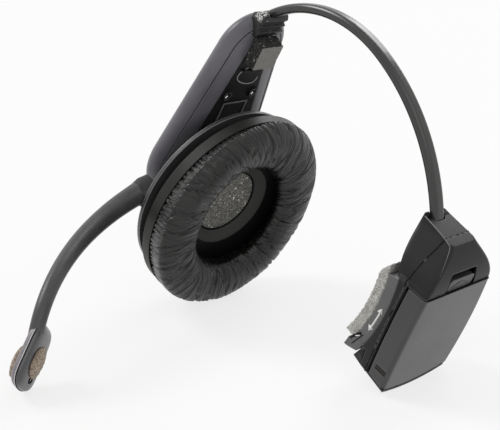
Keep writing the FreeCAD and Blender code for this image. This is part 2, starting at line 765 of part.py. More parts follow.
def shoulder(owner, inset, base_rise, top_drop, cut=False):
    stations = [
        (base_rise, s.shoulder_base_back, s.housing_front, s.housing_half_width, 0.0),
        (s.shoulder_low_rise, s.shoulder_low_back, s.shoulder_low_front, s.shoulder_low_half, 0.0),
        (s.shoulder_mid_rise, s.shoulder_mid_back, s.shoulder_mid_front, s.shoulder_mid_half, 0.0),
        (s.shoulder_high_rise - top_drop * 0.5, s.shoulder_high_back, s.shoulder_high_front,
         s.shoulder_high_half, 0.0),
        (s.shoulder_top_rise - top_drop, s.housing_head_side, s.shoulder_top_front, s.shoulder_top_half,
         -s.housing_shift)]
    loft(owner, [plan_outline(owner, s.housing_shoulder_base + rise, back, front, half, shift, inset,
                              s.shoulder_corner)
                 for rise, back, front, half, shift in stations], cut=cut)


def away(owner, corners, width):
    made = sketch(owner, "XZ_Plane")
    path(made, corners)
    pad(owner, made, width, symmetric=True, cut=True)


full_width = s.housing_half_width * 2
beyond = s.housing_front * 2
cap_back = s.shoulder_low_back - s.housing_wall
cap = [(cap_back, s.cap_head_height), (s.housing_head_side, s.cap_head_height),
       (s.cap_front_along, s.cap_front_height),
       (s.cap_front_along + full_width, s.cap_front_height - full_width * 0.2),
       (s.cap_front_along + full_width, beyond), (cap_back, beyond)]


def hollow_shoulder(owner, cut_from, cut_to):
    shoulder(owner, 0.0, 0.0, 0.0)
    away(owner, cap, full_width * 2)
    shoulder(owner, s.shoulder_wall, s.housing_wall, s.cap_thickness, cut=True)
    away(owner, [(cut_from, 0), (cut_to, 0), (cut_to, beyond), (cut_from, beyond)], full_width * 2)


def arc_point(radius, angle):
    """A point on an arc about the temple pad's centre, at an angle above its level."""
    return (s.slide_center_along + radius * cosine(angle), s.slide_center_height + radius * sine(angle))


# The bottom of the housing and the battery is bowed across and rises towards the back.
bow_radius = (s.housing_half_width * s.housing_half_width + s.bottom_bow * s.bottom_bow) / (s.bottom_bow * 2)
lip_front = s.housing_front + s.lip_overhang
lip_tip = s.battery_low - s.lip_gap - s.lip_floor
bottom_slope = (s.lip_root_height - lip_tip) / (s.housing_front - s.lip_root_along)


def bow(owner, low, other_edge, back):
    """Cut away what lies between a bowed line and the level of other_edge, from the lip to back."""
    made = sketch(owner, "YZ_Plane", lip_front)
    path(made, [(-s.housing_half_width, low, bow_radius), (s.housing_half_width, low),
                (s.housing_half_width, other_edge), (-s.housing_half_width, other_edge)])
    feature = pad(owner, made, lip_front - back, cut=True)
    feature.UseCustomVector = True
    feature.AlongSketchNormal = True
    feature.Direction = Vector(-1, 0, bottom_slope.value)
    return feature


back_shell = body("housing_back_shell", HOUSING)
hollow_shoulder(back_shell, s.housing_part_plane, beyond)
rail_radius = s.slide_radius + s.slide_gap
base = s.housing_shoulder_base
rail_top = (s.slide_center_along + root(rail_radius * rail_radius
            - (base - s.slide_center_height) * (base - s.slide_center_height)), base)
wedge_top = s.lip_root_height + s.lip_thickness * 4
rail_low = (s.slide_center_along + root(rail_radius * rail_radius
            - (wedge_top - s.slide_center_height) * (wedge_top - s.slide_center_height)), wedge_top)
plate = sketch(back_shell, "XZ_Plane")
path(plate, [
    (s.lip_root_along + s.fit_gap, -s.bottom_reach), (s.housing_part_plane, -s.bottom_reach),
    (s.housing_part_plane, base + s.housing_wall), (rail_top[0], base + s.housing_wall),
    (rail_top[0], rail_top[1], -rail_radius), rail_low, (s.lip_root_along + s.fit_gap, wedge_top)])
pad(back_shell, plate, full_width, symmetric=True)
bow(back_shell, lip_tip, -s.bottom_reach * 2, s.lip_root_along)
tunnel(back_shell, hidden_center[0], hidden_center[1], s.band_hidden_radius, s.slide_gap,
       s.band_end_angle + s.sweep_spare, across=-s.housing_shift)
slab("housing_wedge", HOUSING, [
    (s.lip_root_along - s.lip_thickness * 0.9, wedge_top), (s.lip_root_along - s.fit_gap * 4, wedge_top),
    (s.lip_root_along, s.lip_root_height + s.fit_gap),
    (s.lip_root_along - s.lip_thickness * 2.2, s.lip_root_height + s.lip_thickness * 0.7)], full_width)
front_shell = body("housing_front_shell", HOUSING)
front_back = s.housing_part_plane + s.running_clearance
hollow_shoulder(front_shell, -beyond, front_back)
strip = sketch(front_shell, "XZ_Plane")
path(strip, [
    (front_back, -s.bottom_reach), (lip_front, -s.bottom_reach), (lip_front, s.lip_block_top),
    (s.housing_strip_front, s.lip_block_top), (s.housing_strip_front, base + s.housing_wall),
    (front_back, base + s.housing_wall)])
pad(front_shell, strip, full_width, symmetric=True)
bow(front_shell, lip_tip, -s.bottom_reach * 2, s.housing_part_plane - s.lip_thickness)
bow(front_shell, s.battery_low - s.lip_gap, s.lip_block_top * 2, s.housing_strip_front)
window = sketch(front_shell, "YZ_Plane", s.housing_front - s.window_depth)
window_top = base + s.window_height


def rounded_top(made, low_half, top_half, low, top, corner):
    """A window's outline: level below, leaning sides and two rounded corners above."""
    path(made, [(-low_half, low), (low_half, low), (top_half, top - corner, corner), (top_half - corner, top),
                (corner - top_half, top, corner), (-top_half, top - corner)])


rounded_top(window, s.window_low_half, s.window_top_half, base - s.housing_wall, window_top, s.window_corner)
pad(front_shell, window, s.window_depth * 2, cut=True, reverse=True)

# Latch button in its window, with room above it to slide up.
latch = body("latch_button", HOUSING)
latch_outline = sketch(latch, "YZ_Plane", s.housing_front - s.window_depth + s.latch_gap)
latch_half = s.window_top_half - s.latch_gap
rounded_top(latch_outline, latch_half, latch_half, base, window_top - s.latch_travel - s.latch_gap,
            s.window_corner)
pad(latch, latch_outline, s.window_depth - s.latch_gap * 3)

# Battery pack with a small window in its side, and the spring contacts behind it.
pack = body("battery_pack", HOUSING)
pad(pack, plan_outline(pack, -s.bottom_reach, s.battery_back, s.battery_front, s.housing_half_width),
    s.battery_top + s.bottom_reach)
bow(pack, s.battery_low, -s.bottom_reach * 2, s.housing_strip_front)
recess = sketch(pack, "XZ_Plane", s.housing_half_width)
panel_outline(recess, s.side_window_back, s.side_window_front, s.side_window_low, s.side_window_top)
pad(pack, recess, s.side_window_depth, cut=True)
side_window = body("battery_window", HOUSING)
pane = sketch(side_window, "XZ_Plane", s.housing_half_width - s.side_window_depth)
panel_outline(pane, s.side_window_back + s.fit_gap, s.side_window_front - s.fit_gap,
              s.side_window_low + s.fit_gap, s.side_window_top - s.fit_gap)
pad(side_window, pane, s.side_window_depth - s.fit_gap)
slab("battery_contacts", HOUSING, [
    (s.housing_strip_front, s.contact_low), (s.battery_back - s.fit_gap, s.contact_low),
    (s.battery_back - s.fit_gap, s.contact_top), (s.housing_strip_front, s.contact_top)], s.contact_width)


# Temple pad: a curved bracket with a release tab, and its foam, which slide along the housing's back.
def sector(owner, inner, outer, low_angle, top_angle, half):
    low_outer, low_inner = arc_point(outer, low_angle), arc_point(inner, low_angle)
    top_outer, top_inner = arc_point(outer, top_angle), arc_point(inner, top_angle)
    outline = sketch(owner, "XZ_Plane")
    path(outline, [(low_outer[0], low_outer[1], outer), top_outer, (top_inner[0], top_inner[1], -inner),
                   low_inner])
    pad(owner, outline, half * 2, symmetric=True)


bracket_inner = s.slide_radius - s.bracket_thickness
bracket = body("pad_bracket", EAR)
sector(bracket, bracket_inner, s.slide_radius, -s.bracket_low_angle, s.bracket_top_angle, s.pad_half_width)
sector(bracket, bracket_inner - s.tab_depth, s.slide_radius, -s.tab_low_angle, -s.tab_top_angle,
       s.pad_half_width)
temple_foam = body("temple_foam", EAR)
sector(temple_foam, bracket_inner - s.temple_foam_thickness, bracket_inner - s.fit_gap, -s.foam_low_angle,
       s.foam_top_angle, s.pad_half_width)


def round_face(owner, feature, direction, radius):
    """Round the edges of the flat face that lies furthest in a direction."""
    flat = [(face.CenterOfMass.dot(direction), number) for number, face in
            enumerate(feature.Shape.Faces, start=1)
            if isinstance(face.Surface, Part.Plane)
            and abs(face.normalAt(0, 0).dot(direction)) > 0.999]
    rounded = owner.newObject("PartDesign::Fillet", "Rounded")
    rounded.Base = (feature, [f"Face{max(flat)[1]}"])
    rounded.setExpression("Radius", formula_of(radius))
    owner.Tip = rounded
    return rounded


# Boom: a collar on the ring's edge holds a tapering flexible tube that follows one smooth curve.
slope = math.radians(s.boom_base_slope.value)
boom_base = Vector(-s.boom_base_depth.value, -s.boom_base_side.value, s.boom_base_rise.value)
boom_way = Vector(0, -math.cos(slope), -math.sin(slope))
collar_turn = Rotation(Vector(1, 0, 0), boom_way.cross(Vector(1, 0, 0)), boom_way, "ZXY")
collar = body("boom_collar", EAR.multiply(Placement(boom_base, collar_turn)))
collar_outline = sketch(collar, "XY_Plane", -s.collar_inset)
disc(collar_outline, s.collar_radius)
pad(collar, collar_outline, s.collar_length)
block_outline = sketch(collar, "XY_Plane", -s.collar_inset)
panel_outline(block_outline, 0.0, s.boom_base_depth - ring_back, -s.collar_block_half, s.collar_block_half)
pad(collar, block_outline, s.collar_length)
collar_bore = sketch(collar, "XY_Plane", s.collar_length)
disc(collar_bore, s.boom_base_radius + s.running_clearance)
pad(collar, collar_bore, s.collar_length * 2, cut=True)
boom_end = Vector(s.boom_tip_depth.value, -s.boom_tip_side.value, -s.boom_tip_drop.value)
boom_poles = [boom_base, boom_base + boom_way * s.boom_first_pull.value,
              Vector(s.boom_second_depth.value, -s.boom_second_side.value, s.boom_second_rise.value),
              boom_end]
boom_line = Part.BezierCurve()
boom_line.setPoles(boom_poles)
BOOM_STATIONS = 10
rings = []
for step in range(BOOM_STATIONS):
    share = step / (BOOM_STATIONS - 1)
    spot = boom_line.value(share)
    way = boom_line.tangent(share)[0]
    radius = s.boom_tip_radius.value + (s.boom_base_radius.value - s.boom_tip_radius.value) \
        * (1 - share) ** s.boom_taper.value
    rings.append(Part.Wire(Part.Circle(spot, way, radius).toShape()))
tube = doc.addObject("Part::Feature", "boom_tube")
tube.Label = "boom_tube"
tube.Shape = Part.makeLoft(rings, True, False)
tube.Placement = EAR
kept["boom_tube"] = tube

# Microphone head: two shells about a noise-cancelling capsule, with a foam disc on each side and a
# socket in the neck that takes the end of the boom.
mic_tip = Vector(s.mic_tip_along.value, -s.mic_tip_side.value, -s.mic_tip_drop.value)
mic_top = Vector(s.mic_top_along.value, -s.mic_top_side.value, -s.mic_top_drop.value)
mouth = Vector(s.mouth_along.value, s.mouth_side.value, s.mouth_rise.value)
mic_up = (mic_top - mic_tip).normalize()
mic_turn = Rotation(mouth, mic_up.cross(mouth), mic_up, "ZXY")
MIC = EAR.multiply(Placement(mic_tip, mic_turn))
boom_end_way = boom_line.tangent(1.0)[0]
socket = doc.addObject("Part::Cylinder", "mic_socket")
socket.setExpression("Radius", (s.boom_tip_radius + s.fit_gap * 6).formula)
socket.setExpression("Height", (s.mic_length + s.boom_socket_depth).formula)
socket_base = boom_end + boom_end_way * s.fit_gap.value
socket.Placement = EAR.multiply(Placement(socket_base, Rotation(Vector(0, 0, 1), -boom_end_way)))
for label, foam_label, side in (("mic_front_shell", "mic_front_foam", 1), ("mic_rear_shell", "mic_rear_foam", -1)):
    shell = body(f"{label}_solid", MIC)
    del kept[f"{label}_solid"]
    outline = sketch(shell, "YZ_Plane", s.running_clearance * side * 0.5)
    bullet(outline, s.mic_width * 0.5, s.mic_neck_radius, s.mic_width * 0.5,
           s.mic_length - s.mic_neck_radius)
    block = pad(shell, outline, s.mic_shell_depth, reverse=side < 0)
    room = sketch(shell, "YZ_Plane")
    disc(room, s.mic_capsule_radius + s.fit_gap, 0.0, s.mic_capsule_height)
    hollowed = pad(shell, room, s.mic_shell_depth - s.mic_wall, cut=True, reverse=side > 0)
    doc.recompute()
    round_face(shell, hollowed, Vector(side, 0, 0), s.mic_rounding)
    if side > 0:
        screw_hole = sketch(shell, "XZ_Plane", s.mic_width * 0.5)
        disc(screw_hole, s.mic_screw_radius + s.fit_gap, s.mic_screw_across, s.mic_screw_height)
        pad(shell, screw_hole, s.mic_screw_sink, cut=True)
    socketed = doc.addObject("Part::Cut", label)
    socketed.Label = label
    socketed.Base = shell
    socketed.Tool = socket
    kept[label] = socketed
    foam = body(foam_label, MIC)
    foam_outline = sketch(foam, "YZ_Plane", (s.mic_shell_depth + s.running_clearance) * side)
    disc(foam_outline, s.mic_foam_radius, 0.0, s.mic_capsule_height)
    pad(foam, foam_outline, s.mic_foam_depth, reverse=side < 0)
mic_screw = body("mic_screw", MIC)
screw_outline = sketch(mic_screw, "XZ_Plane", s.mic_width * 0.5 - s.mic_screw_sink)
disc(screw_outline, s.mic_screw_radius, s.mic_screw_across, s.mic_screw_height)
pad(mic_screw, screw_outline, s.mic_screw_length)
capsule = body("mic_capsule", MIC)
capsule_outline = sketch(capsule, "YZ_Plane")
disc(capsule_outline, s.mic_capsule_radius, 0.0, s.mic_capsule_height)
pad(capsule, capsule_outline, (s.mic_shell_depth - s.mic_wall - s.fit_gap) * 2, symmetric=True)

# The part stands on the floor with its origin under the middle of its box.
doc.recompute()
for item in doc.Objects:
    if "Invalid" in item.State or "Error" in item.State:
        raise RuntimeError(f"{item.Label} did not build: {item.State}")
box = FreeCAD.BoundBox()
for item in kept.values():
    if item.Shape.isNull() or not item.Shape.isValid():
        raise RuntimeError(f"{item.Label} has no valid shape")
    box.add(item.Shape.optimalBoundingBox(False))
origin = Placement(Vector(-box.Center.x, -box.Center.y, -box.ZMin), Rotation())
for item in kept.values():
    item.Placement = origin.multiply(item.Placement)
doc.recompute()
os.makedirs("parts", exist_ok=True)
for label, item in kept.items():
    item.Shape.exportStep(f"parts/{label}.step")
print("nodes", len(kept), "origin shift", origin.Base)
print("hidden centre", [round(size.value, 3) for size in hidden_center])
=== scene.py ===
import json
import math

import bmesh
import bpy
from mathutils import Matrix, Vector, noise


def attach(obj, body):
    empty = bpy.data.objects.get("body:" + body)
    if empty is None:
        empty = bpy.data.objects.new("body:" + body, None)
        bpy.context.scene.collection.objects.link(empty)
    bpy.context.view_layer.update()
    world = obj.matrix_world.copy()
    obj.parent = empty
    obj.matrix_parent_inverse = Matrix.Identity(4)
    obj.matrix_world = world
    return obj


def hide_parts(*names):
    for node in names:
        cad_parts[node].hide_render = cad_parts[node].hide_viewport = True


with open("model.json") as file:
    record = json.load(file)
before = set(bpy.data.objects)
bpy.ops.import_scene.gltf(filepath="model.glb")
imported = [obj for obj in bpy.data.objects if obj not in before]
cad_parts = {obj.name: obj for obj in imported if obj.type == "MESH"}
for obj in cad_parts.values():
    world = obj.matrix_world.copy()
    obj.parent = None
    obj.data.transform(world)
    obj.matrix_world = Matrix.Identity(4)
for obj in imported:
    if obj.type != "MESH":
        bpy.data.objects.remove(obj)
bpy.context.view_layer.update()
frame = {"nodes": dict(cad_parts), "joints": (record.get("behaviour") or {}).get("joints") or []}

nodes = frame["nodes"]
joints = {joint["name"]: joint for joint in frame["joints"]}
scene = bpy.context.scene
MM = 0.001

# The studio: a white table that runs out of sight, a white room and three wide soft lamps. Places are
# given from the ear frame, which stands in the middle of the cushion's seam, its x along the ear axis.
CAMERA_PLACE = (232.6378, -271.3282, 236.4383)
CAMERA_AIM = (35.5191, -32.5322, 31.5445)
CAMERA_ROLL = 18.85178
CAMERA_LENS = 72.678
SENSOR_WIDTH = 36.0
TABLE_SIZE = 8.0
TABLE_COLOR = (0.93, 0.93, 0.93, 1.0)
TABLE_GLOW = (0.96, 0.96, 0.958, 1.0)
GLOW_SHARE = 0.80
ROOM_COLOR = (0.955, 0.955, 0.95, 1.0)
ROOM_LIGHT = 0.58
LAMPS = {
    "key_lamp": ((-0.75, -0.45, 1.0), 24.0, 1.3),
    "window_lamp": ((0.85, -0.35, 0.75), 40.0, 0.29),
    "rear_lamp": ((-0.25, 0.9, 0.8), 30.0, 0.95),
}


def frame_about(place, along):
    """A frame whose x runs along a direction, y level with the table and z up from both."""
    along = Vector(along).normalized()
    across = Vector((0, 1, 0))
    turn = Matrix((along, across, along.cross(across))).transposed().to_4x4()
    return Matrix.Translation(place) @ turn


def new_object(name, data):
    made = bpy.data.objects.new(name, data)
    scene.collection.objects.link(made)
    return made


def add_node(tree, kind, **sockets):
    """A node of a material or group; its named inputs are given with underscores for spaces."""
    made = tree.nodes.new(kind)
    for socket, value in sockets.items():
        made.inputs[socket.replace("_", " ")].default_value = value
    return made


def math_node(tree, operation, one, two):
    """The result of a sum on two numbers, each a socket or a plain value."""
    made = tree.nodes.new("ShaderNodeMath")
    made.operation = operation
    for place, value in enumerate((one, two)):
        if isinstance(value, bpy.types.NodeSocket):
            tree.links.new(value, made.inputs[place])
        else:
            made.inputs[place].default_value = value
    return made.outputs[0]


def wire(tree, *links):
    """Join sockets of a shader tree, each link given as node, output, node, input."""
    for source, out, target, into in links:
        tree.links.new(source.outputs[out], target.inputs[into])


def new_material(name, **sockets):
    """An empty node material with its Principled shader."""
    made = bpy.data.materials.new(name)
    made.use_nodes = True
    shader = made.node_tree.nodes["Principled BSDF"]
    for socket, value in sockets.items():
        shader.inputs[socket.replace("_", " ")].default_value = value
    return made, made.node_tree, shader


def seen_share(tree, share):
    """A share of what the camera, a mirror or glass sees, and nothing of the light that is cast."""
    rays = tree.nodes.new("ShaderNodeLightPath")
    mirrored = math_node(tree, "MAXIMUM", rays.outputs["Is Glossy Ray"], rays.outputs["Is Transmission Ray"])
    seen = math_node(tree, "MAXIMUM", rays.outputs["Is Camera Ray"], mirrored)
    return math_node(tree, "MULTIPLY", seen, share)


ear_center = Vector(joints["boom_swing"]["pos_m"])
EAR = frame_about(ear_center, joints["boom_swing"]["axis"])
POD = frame_about(ear_center, joints["power_press"]["axis"])

camera_data = bpy.data.cameras.new("camera")
camera_data.lens = CAMERA_LENS
camera_data.sensor_width = SENSOR_WIDTH
camera_data.clip_start = 0.01
camera = new_object("camera", camera_data)
place, aim = Vector(CAMERA_PLACE) * MM, Vector(CAMERA_AIM) * MM
look = (aim - place).to_track_quat("-Z", "Y").to_matrix().to_4x4()
roll = Matrix.Rotation(math.radians(CAMERA_ROLL), 4, "Z")
camera.matrix_world = EAR @ Matrix.Translation(place) @ look @ roll
scene.camera = camera
scene.view_settings.view_transform = "Standard"

table_mesh = bpy.data.meshes.new("table")
half = TABLE_SIZE / 2
table_mesh.from_pydata([(-half, -half, 0), (half, -half, 0), (half, half, 0), (-half, half, 0)], [],
                       [(0, 1, 2, 3)])
table = new_object("table", table_mesh)
table_white, tree, shader = new_material("table_white", Base_Color=TABLE_COLOR, Roughness=0.8,
                                         Specular_IOR_Level=0.1)
glow = add_node(tree, "ShaderNodeEmission", Color=TABLE_GLOW, Strength=1.0)
blend = tree.nodes.new("ShaderNodeMixShader")
tree.links.new(seen_share(tree, GLOW_SHARE), blend.inputs[0])
wire(tree, (shader, 0, blend, 1), (glow, 0, blend, 2), (blend, 0, tree.nodes["Material Output"], "Surface"))
table_mesh.materials.append(table_white)

room = bpy.data.worlds.new("room")
scene.world = room
room.use_nodes = True
tree = room.node_tree
tree.nodes.clear()
lit = add_node(tree, "ShaderNodeBackground", Color=ROOM_COLOR, Strength=ROOM_LIGHT)
seen = add_node(tree, "ShaderNodeBackground", Color=ROOM_COLOR, Strength=1.0)
pick = tree.nodes.new("ShaderNodeMixShader")
output = tree.nodes.new("ShaderNodeOutputWorld")
tree.links.new(seen_share(tree, 1.0), pick.inputs[0])
wire(tree, (lit, 0, pick, 1), (seen, 0, pick, 2), (pick, 0, output, 0))

for name, (toward, width, strength) in LAMPS.items():
    lamp_data = bpy.data.lights.new(name, "SUN")
    lamp_data.angle = math.radians(width)
    lamp_data.energy = strength
    lamp = new_object(name, lamp_data)
    lamp.matrix_world = Vector(toward).to_track_quat("Z", "Y").to_matrix().to_4x4()

# Ear cup, skirt and baffle: turned and moulded dark plastic. The cup's dish carries the cushion's
# skirt in front and a bearing boss behind; a hub on the pod holds it all.


def color_mix(tree):
    """A mix of two colours."""
    made = tree.nodes.new("ShaderNodeMix")
    made.data_type = "RGBA"
    return made


def finish_group(name, colors, numbers):
    """A shader group with named colours and numbers as inputs, and a surface's three values as outputs;
    also its input and output nodes and the place on the piece."""
    group = bpy.data.node_groups.new(name, "ShaderNodeTree")
    for socket in colors:
        group.interface.new_socket(socket, in_out="INPUT", socket_type="NodeSocketColor")
    for socket, usual in numbers.items():
        made = group.interface.new_socket(socket, in_out="INPUT", socket_type="NodeSocketFloat")
        made.default_value = usual
    for socket, kind in (("Color", "NodeSocketColor"), ("Roughness", "NodeSocketFloat"),
                         ("Normal", "NodeSocketVector")):
        group.interface.new_socket(socket, in_out="OUTPUT", socket_type=kind)
    given = group.nodes.new("NodeGroupInput")
    result = group.nodes.new("NodeGroupOutput")
    return group, given, result, group.nodes.new("ShaderNodeTexCoord")


def add_finish(tree, shader, group, values):
    """Set a shader group's inputs in a material and feed the material's shader from it."""
    finish = tree.nodes.new("ShaderNodeGroup")
    finish.node_tree = group
    for socket, value in values.items():
        finish.inputs[socket].default_value = value
    wire(tree, (finish, "Color", shader, "Base Color"), (finish, "Roughness", shader, "Roughness"),
         (finish, "Normal", shader, "Normal"))


def plastic_group():
    """Moulded plastic: soft clouds of two tones, paler edges that are partly rubbed wear and partly a painted
    highlight, a fine grain and rounded corners.
    """
    group, given, result, place = finish_group("moulded_plastic", ("Tone", "Cloud Tone", "Worn And Highlit Edge Tone"), {
        "Cloud Scale": 40.0, "Grain Scale": 2500.0, "Grain Depth": 0.00002, "Roughness": 0.45,
        "Edge Radius": 0.0004, "Edge Wear": 0.6, "Sharp Wear": 1.0})
    surface = group.nodes.new("ShaderNodeNewGeometry")
    clouds = add_node(group, "ShaderNodeTexNoise", Detail=5.0, Roughness=0.62)
    grain = add_node(group, "ShaderNodeTexNoise", Detail=2.0, Roughness=0.5)
    cloud_share = add_node(group, "ShaderNodeMapRange", From_Min=0.35, From_Max=0.65)
    rounded = group.nodes.new("ShaderNodeBevel")
    rounded.samples = 6
    turned = group.nodes.new("ShaderNodeVectorMath")
    turned.operation = "DOT_PRODUCT"
    edge_share = add_node(group, "ShaderNodeMapRange", From_Min=0.996, From_Max=0.93)
    sharp_share = add_node(group, "ShaderNodeMapRange", From_Min=0.80, From_Max=0.90)
    tone, worn_and_highlit = color_mix(group), color_mix(group)
    rough = add_node(group, "ShaderNodeMapRange", From_Min=0.3, From_Max=0.7, To_Min=-0.07, To_Max=0.08)
    bump = add_node(group, "ShaderNodeBump", Strength=0.5)
    wire(group, (place, "Object", clouds, "Vector"), (given, "Cloud Scale", clouds, "Scale"),
         (place, "Object", grain, "Vector"), (given, "Grain Scale", grain, "Scale"),
         (clouds, "Fac", cloud_share, "Value"), (cloud_share, "Result", tone, "Factor"),
         (given, "Tone", tone, "A"), (given, "Cloud Tone", tone, "B"),
         (given, "Edge Radius", rounded, "Radius"), (rounded, "Normal", turned, 0),
         (surface, "Normal", turned, 1), (turned, "Value", edge_share, "Value"),
         (turned, "Value", sharp_share, "Value"), (given, "Sharp Wear", sharp_share, "To Min"),
         (tone, "Result", worn_and_highlit, "A"), (given, "Worn And Highlit Edge Tone", worn_and_highlit, "B"), (worn_and_highlit, "Result", result, "Color"),
         (grain, "Fac", bump, "Height"), (given, "Grain Depth", bump, "Distance"),
         (rounded, "Normal", bump, "Normal"), (bump, "Normal", result, "Normal"),
         (clouds, "Fac", rough, "Value"))
    # The pale edge tone is partly rubbed wear and partly a painted highlight on ridges and rims.
    worn_and_highlit_share = math_node(group, "MULTIPLY", edge_share.outputs["Result"], given.outputs["Edge Wear"])
    worn_and_highlit_share = math_node(group, "MULTIPLY", worn_and_highlit_share, sharp_share.outputs["Result"])
    group.links.new(worn_and_highlit_share, worn_and_highlit.inputs["Factor"])
    rough_sum = math_node(group, "ADD", rough.outputs["Result"], given.outputs["Roughness"])
    group.links.new(rough_sum, result.inputs["Roughness"])
    return group


moulded_plastic = plastic_group()


def plastic(name, tone, roughness, cloud=1.35, edge=2.6, specular=0.3, metallic=0.0, **values):
    """A moulded or metal finish. The clouds and the paler edges, partly rubbed wear and partly painted
    highlight, are the tone times their shares.
    """
    made, tree, shader = new_material(name, Metallic=metallic, Specular_IOR_Level=specular)
    given = {"Tone": (*tone, 1.0), "Roughness": roughness,
             "Cloud Tone": (*[part * cloud for part in tone], 1.0),
             "Worn And Highlit Edge Tone": (*[min(part * edge, 1.0) for part in tone], 1.0)}
    given.update({socket.replace("_", " "): value for socket, value in values.items()})
    add_finish(tree, shader, moulded_plastic, given)
    return made


def dress(material, *names):
    """Give CAD nodes a material."""
    for name in names:
        mesh = nodes[name].data
        mesh.materials.clear()
        mesh.materials.append(material)


dress(plastic("cup_plastic", (0.010, 0.010, 0.010), 0.5, specular=0.2), "swivel_hub", "ear_cup",
      "baffle_plate")
dress(plastic("skirt_vinyl", (0.018, 0.018, 0.0165), 0.44, specular=0.22, Grain_Depth=0.00004),
      "cushion_skirt")

# Loudspeaker: a grey dished ring clipped in the baffle, and a disc of fine porous foam over the cone.
# The foam is cut from a sheet; painted glints sit on its open cells here and there.
SPEAKER_FOAM_RADIUS = 14.5
SPEAKER_FOAM_FACE = -6.55
SPEAKER_FOAM_BACK = -7.5
SPEAKER_FOAM_DOME = 0.5


def foam_group():
    """Open-cell foam: cell mouths darkened by painted shade, pale cell walls and a few pale flecks of painted
    glint.
    """
    group, given, result, place = finish_group("open_foam", ("Wall Tone", "Cell Tone", "Fleck Tone"), {
        "Cell Scale": 1200.0, "Fleck Limit": 0.9, "Depth": 0.0003})
    cells = group.nodes.new("ShaderNodeTexVoronoi")
    patches = add_node(group, "ShaderNodeTexNoise", Scale=700.0, Detail=3.0, Roughness=0.6)
    cell_share = add_node(group, "ShaderNodeMapRange", From_Min=0.15, From_Max=0.75)
    patch_share = add_node(group, "ShaderNodeMapRange", From_Min=0.35, From_Max=0.65, To_Min=-0.18,
                           To_Max=0.18)
    hue = group.nodes.new("ShaderNodeSeparateColor")
    fleck_range = group.nodes.new("ShaderNodeMapRange")
    tone, flecked = color_mix(group), color_mix(group)
    rough = add_node(group, "ShaderNodeMapRange", To_Min=0.95, To_Max=0.35)
    bump = add_node(group, "ShaderNodeBump", Strength=0.8)
    wire(group, (place, "Object", cells, "Vector"), (place, "Object", patches, "Vector"),
         (given, "Cell Scale", cells, "Scale"), (cells, "Distance", cell_share, "Value"),
         (patches, "Fac", patch_share, "Value"), (given, "Cell Tone", tone, "A"),
         (given, "Wall Tone", tone, "B"), (cells, "Color", hue, "Color"),
         (hue, "Red", fleck_range, "Value"), (given, "Fleck Limit", fleck_range, "From Min"),
         (fleck_range, "Result", flecked, "Factor"), (tone, "Result", flecked, "A"),
         (given, "Fleck Tone", flecked, "B"), (flecked, "Result", result, "Color"),
         (fleck_range, "Result", rough, "Value"), (rough, "Result", result, "Roughness"),
         (cells, "Distance", bump, "Height"), (given, "Depth", bump, "Distance"),
         (bump, "Normal", result, "Normal"))
    mixed = math_node(group, "ADD", cell_share.outputs["Result"], patch_share.outputs["Result"])
    group.links.new(mixed, tone.inputs["Factor"])
    return group


open_foam = foam_group()


def foam(name, wall, cell, fleck, cell_scale, limit=0.9, depth=0.0003, sheen=0.0):
    """A foam finish, from the tones of its cell walls, its cell mouths (painted shade) and its flecks
    (painted glints).
    """
    made, tree, shader = new_material(name, Sheen_Weight=sheen, Specular_IOR_Level=0.15)
    add_finish(tree, shader, open_foam, {
        "Wall Tone": (*wall, 1.0), "Cell Tone": (*cell, 1.0), "Fleck Tone": (*fleck, 1.0),
        "Cell Scale": cell_scale, "Fleck Limit": limit, "Depth": depth})
    return made


def place_piece(name, made, material, body, slot, *replaced):
    """Turn a finished bmesh into a smooth piece that rides on a body and stands for CAD nodes."""
    bmesh.ops.recalc_face_normals(made, faces=made.faces)
    mesh = bpy.data.meshes.new(name)
    made.to_mesh(mesh)
    made.free()
    mesh.shade_smooth()
    mesh.materials.append(material)
    piece = new_object(name, mesh)
    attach(piece, body)
    if replaced:
        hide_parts(*replaced)
    return piece


def foam_solid(cuts, corner, shape, rough, fineness):
    """A foam block: a finely cut cube with rounded corners, shaped by a function of its three shares
    (each from -1 to 1) and roughened along its normals by the foam's own pores."""
    made = bmesh.new()
    bmesh.ops.create_cube(made, size=2.0)
    bmesh.ops.subdivide_edges(made, edges=made.edges, cuts=cuts, use_grid_fill=True)
    for vertex in made.verts:
        core = Vector([max(-1 + edge, min(1 - edge, part)) for part, edge in zip(vertex.co, corner)])
        out = Vector([(part - middle) / edge for part, middle, edge in zip(vertex.co, core, corner)])
        if out.length > 0:
            out.normalize()
        vertex.co = shape(*[middle + step * edge for middle, step, edge in zip(core, out, corner)])
    bmesh.ops.recalc_face_normals(made, faces=made.faces)
    made.normal_update()
    for vertex in made.verts:
        wave = noise.noise(vertex.co * fineness) + 0.6 * noise.noise(vertex.co * fineness * 2.3)
        vertex.co += vertex.normal * wave * rough
    return made


def round_foam(radius, low, high, dome, home):
    """A foam disc about the x axis of a frame; its high face is domed and its rim is soft."""
    def shape(side, along, up):
        reach = max(abs(along), abs(up))
        spread = math.hypot(along, up)
        share = reach / spread if spread else 0.0
        swell = dome * (1 - reach * reach) if side > 0 else 0.0
        across = (low + high) / 2 + side * (high - low) / 2 + swell
        return home @ Vector((across * MM, along * share * radius * MM, up * share * radius * MM))
    return shape


dress(plastic("dish_plastic", (0.036, 0.035, 0.033), 0.5, specular=0.3), "baffle_ring")
dress(plastic("driver_metal", (0.25, 0.25, 0.25), 0.35, metallic=1.0), "speaker_driver")
speaker_fabric = foam("speaker_fabric", (0.26, 0.257, 0.235), (0.055, 0.054, 0.048), (0.9, 0.89, 0.85),
                      1500.0, 0.93)
disc_shape = round_foam(SPEAKER_FOAM_RADIUS, SPEAKER_FOAM_BACK, SPEAKER_FOAM_FACE, SPEAKER_FOAM_DOME, EAR)
disc = foam_solid(40, (0.5, 0.06, 0.06), disc_shape, rough=0.00012, fineness=1100.0)
speaker_disc = place_piece("speaker_disc", disc, speaker_fabric, "root", "speaker_foam", "speaker_foam")

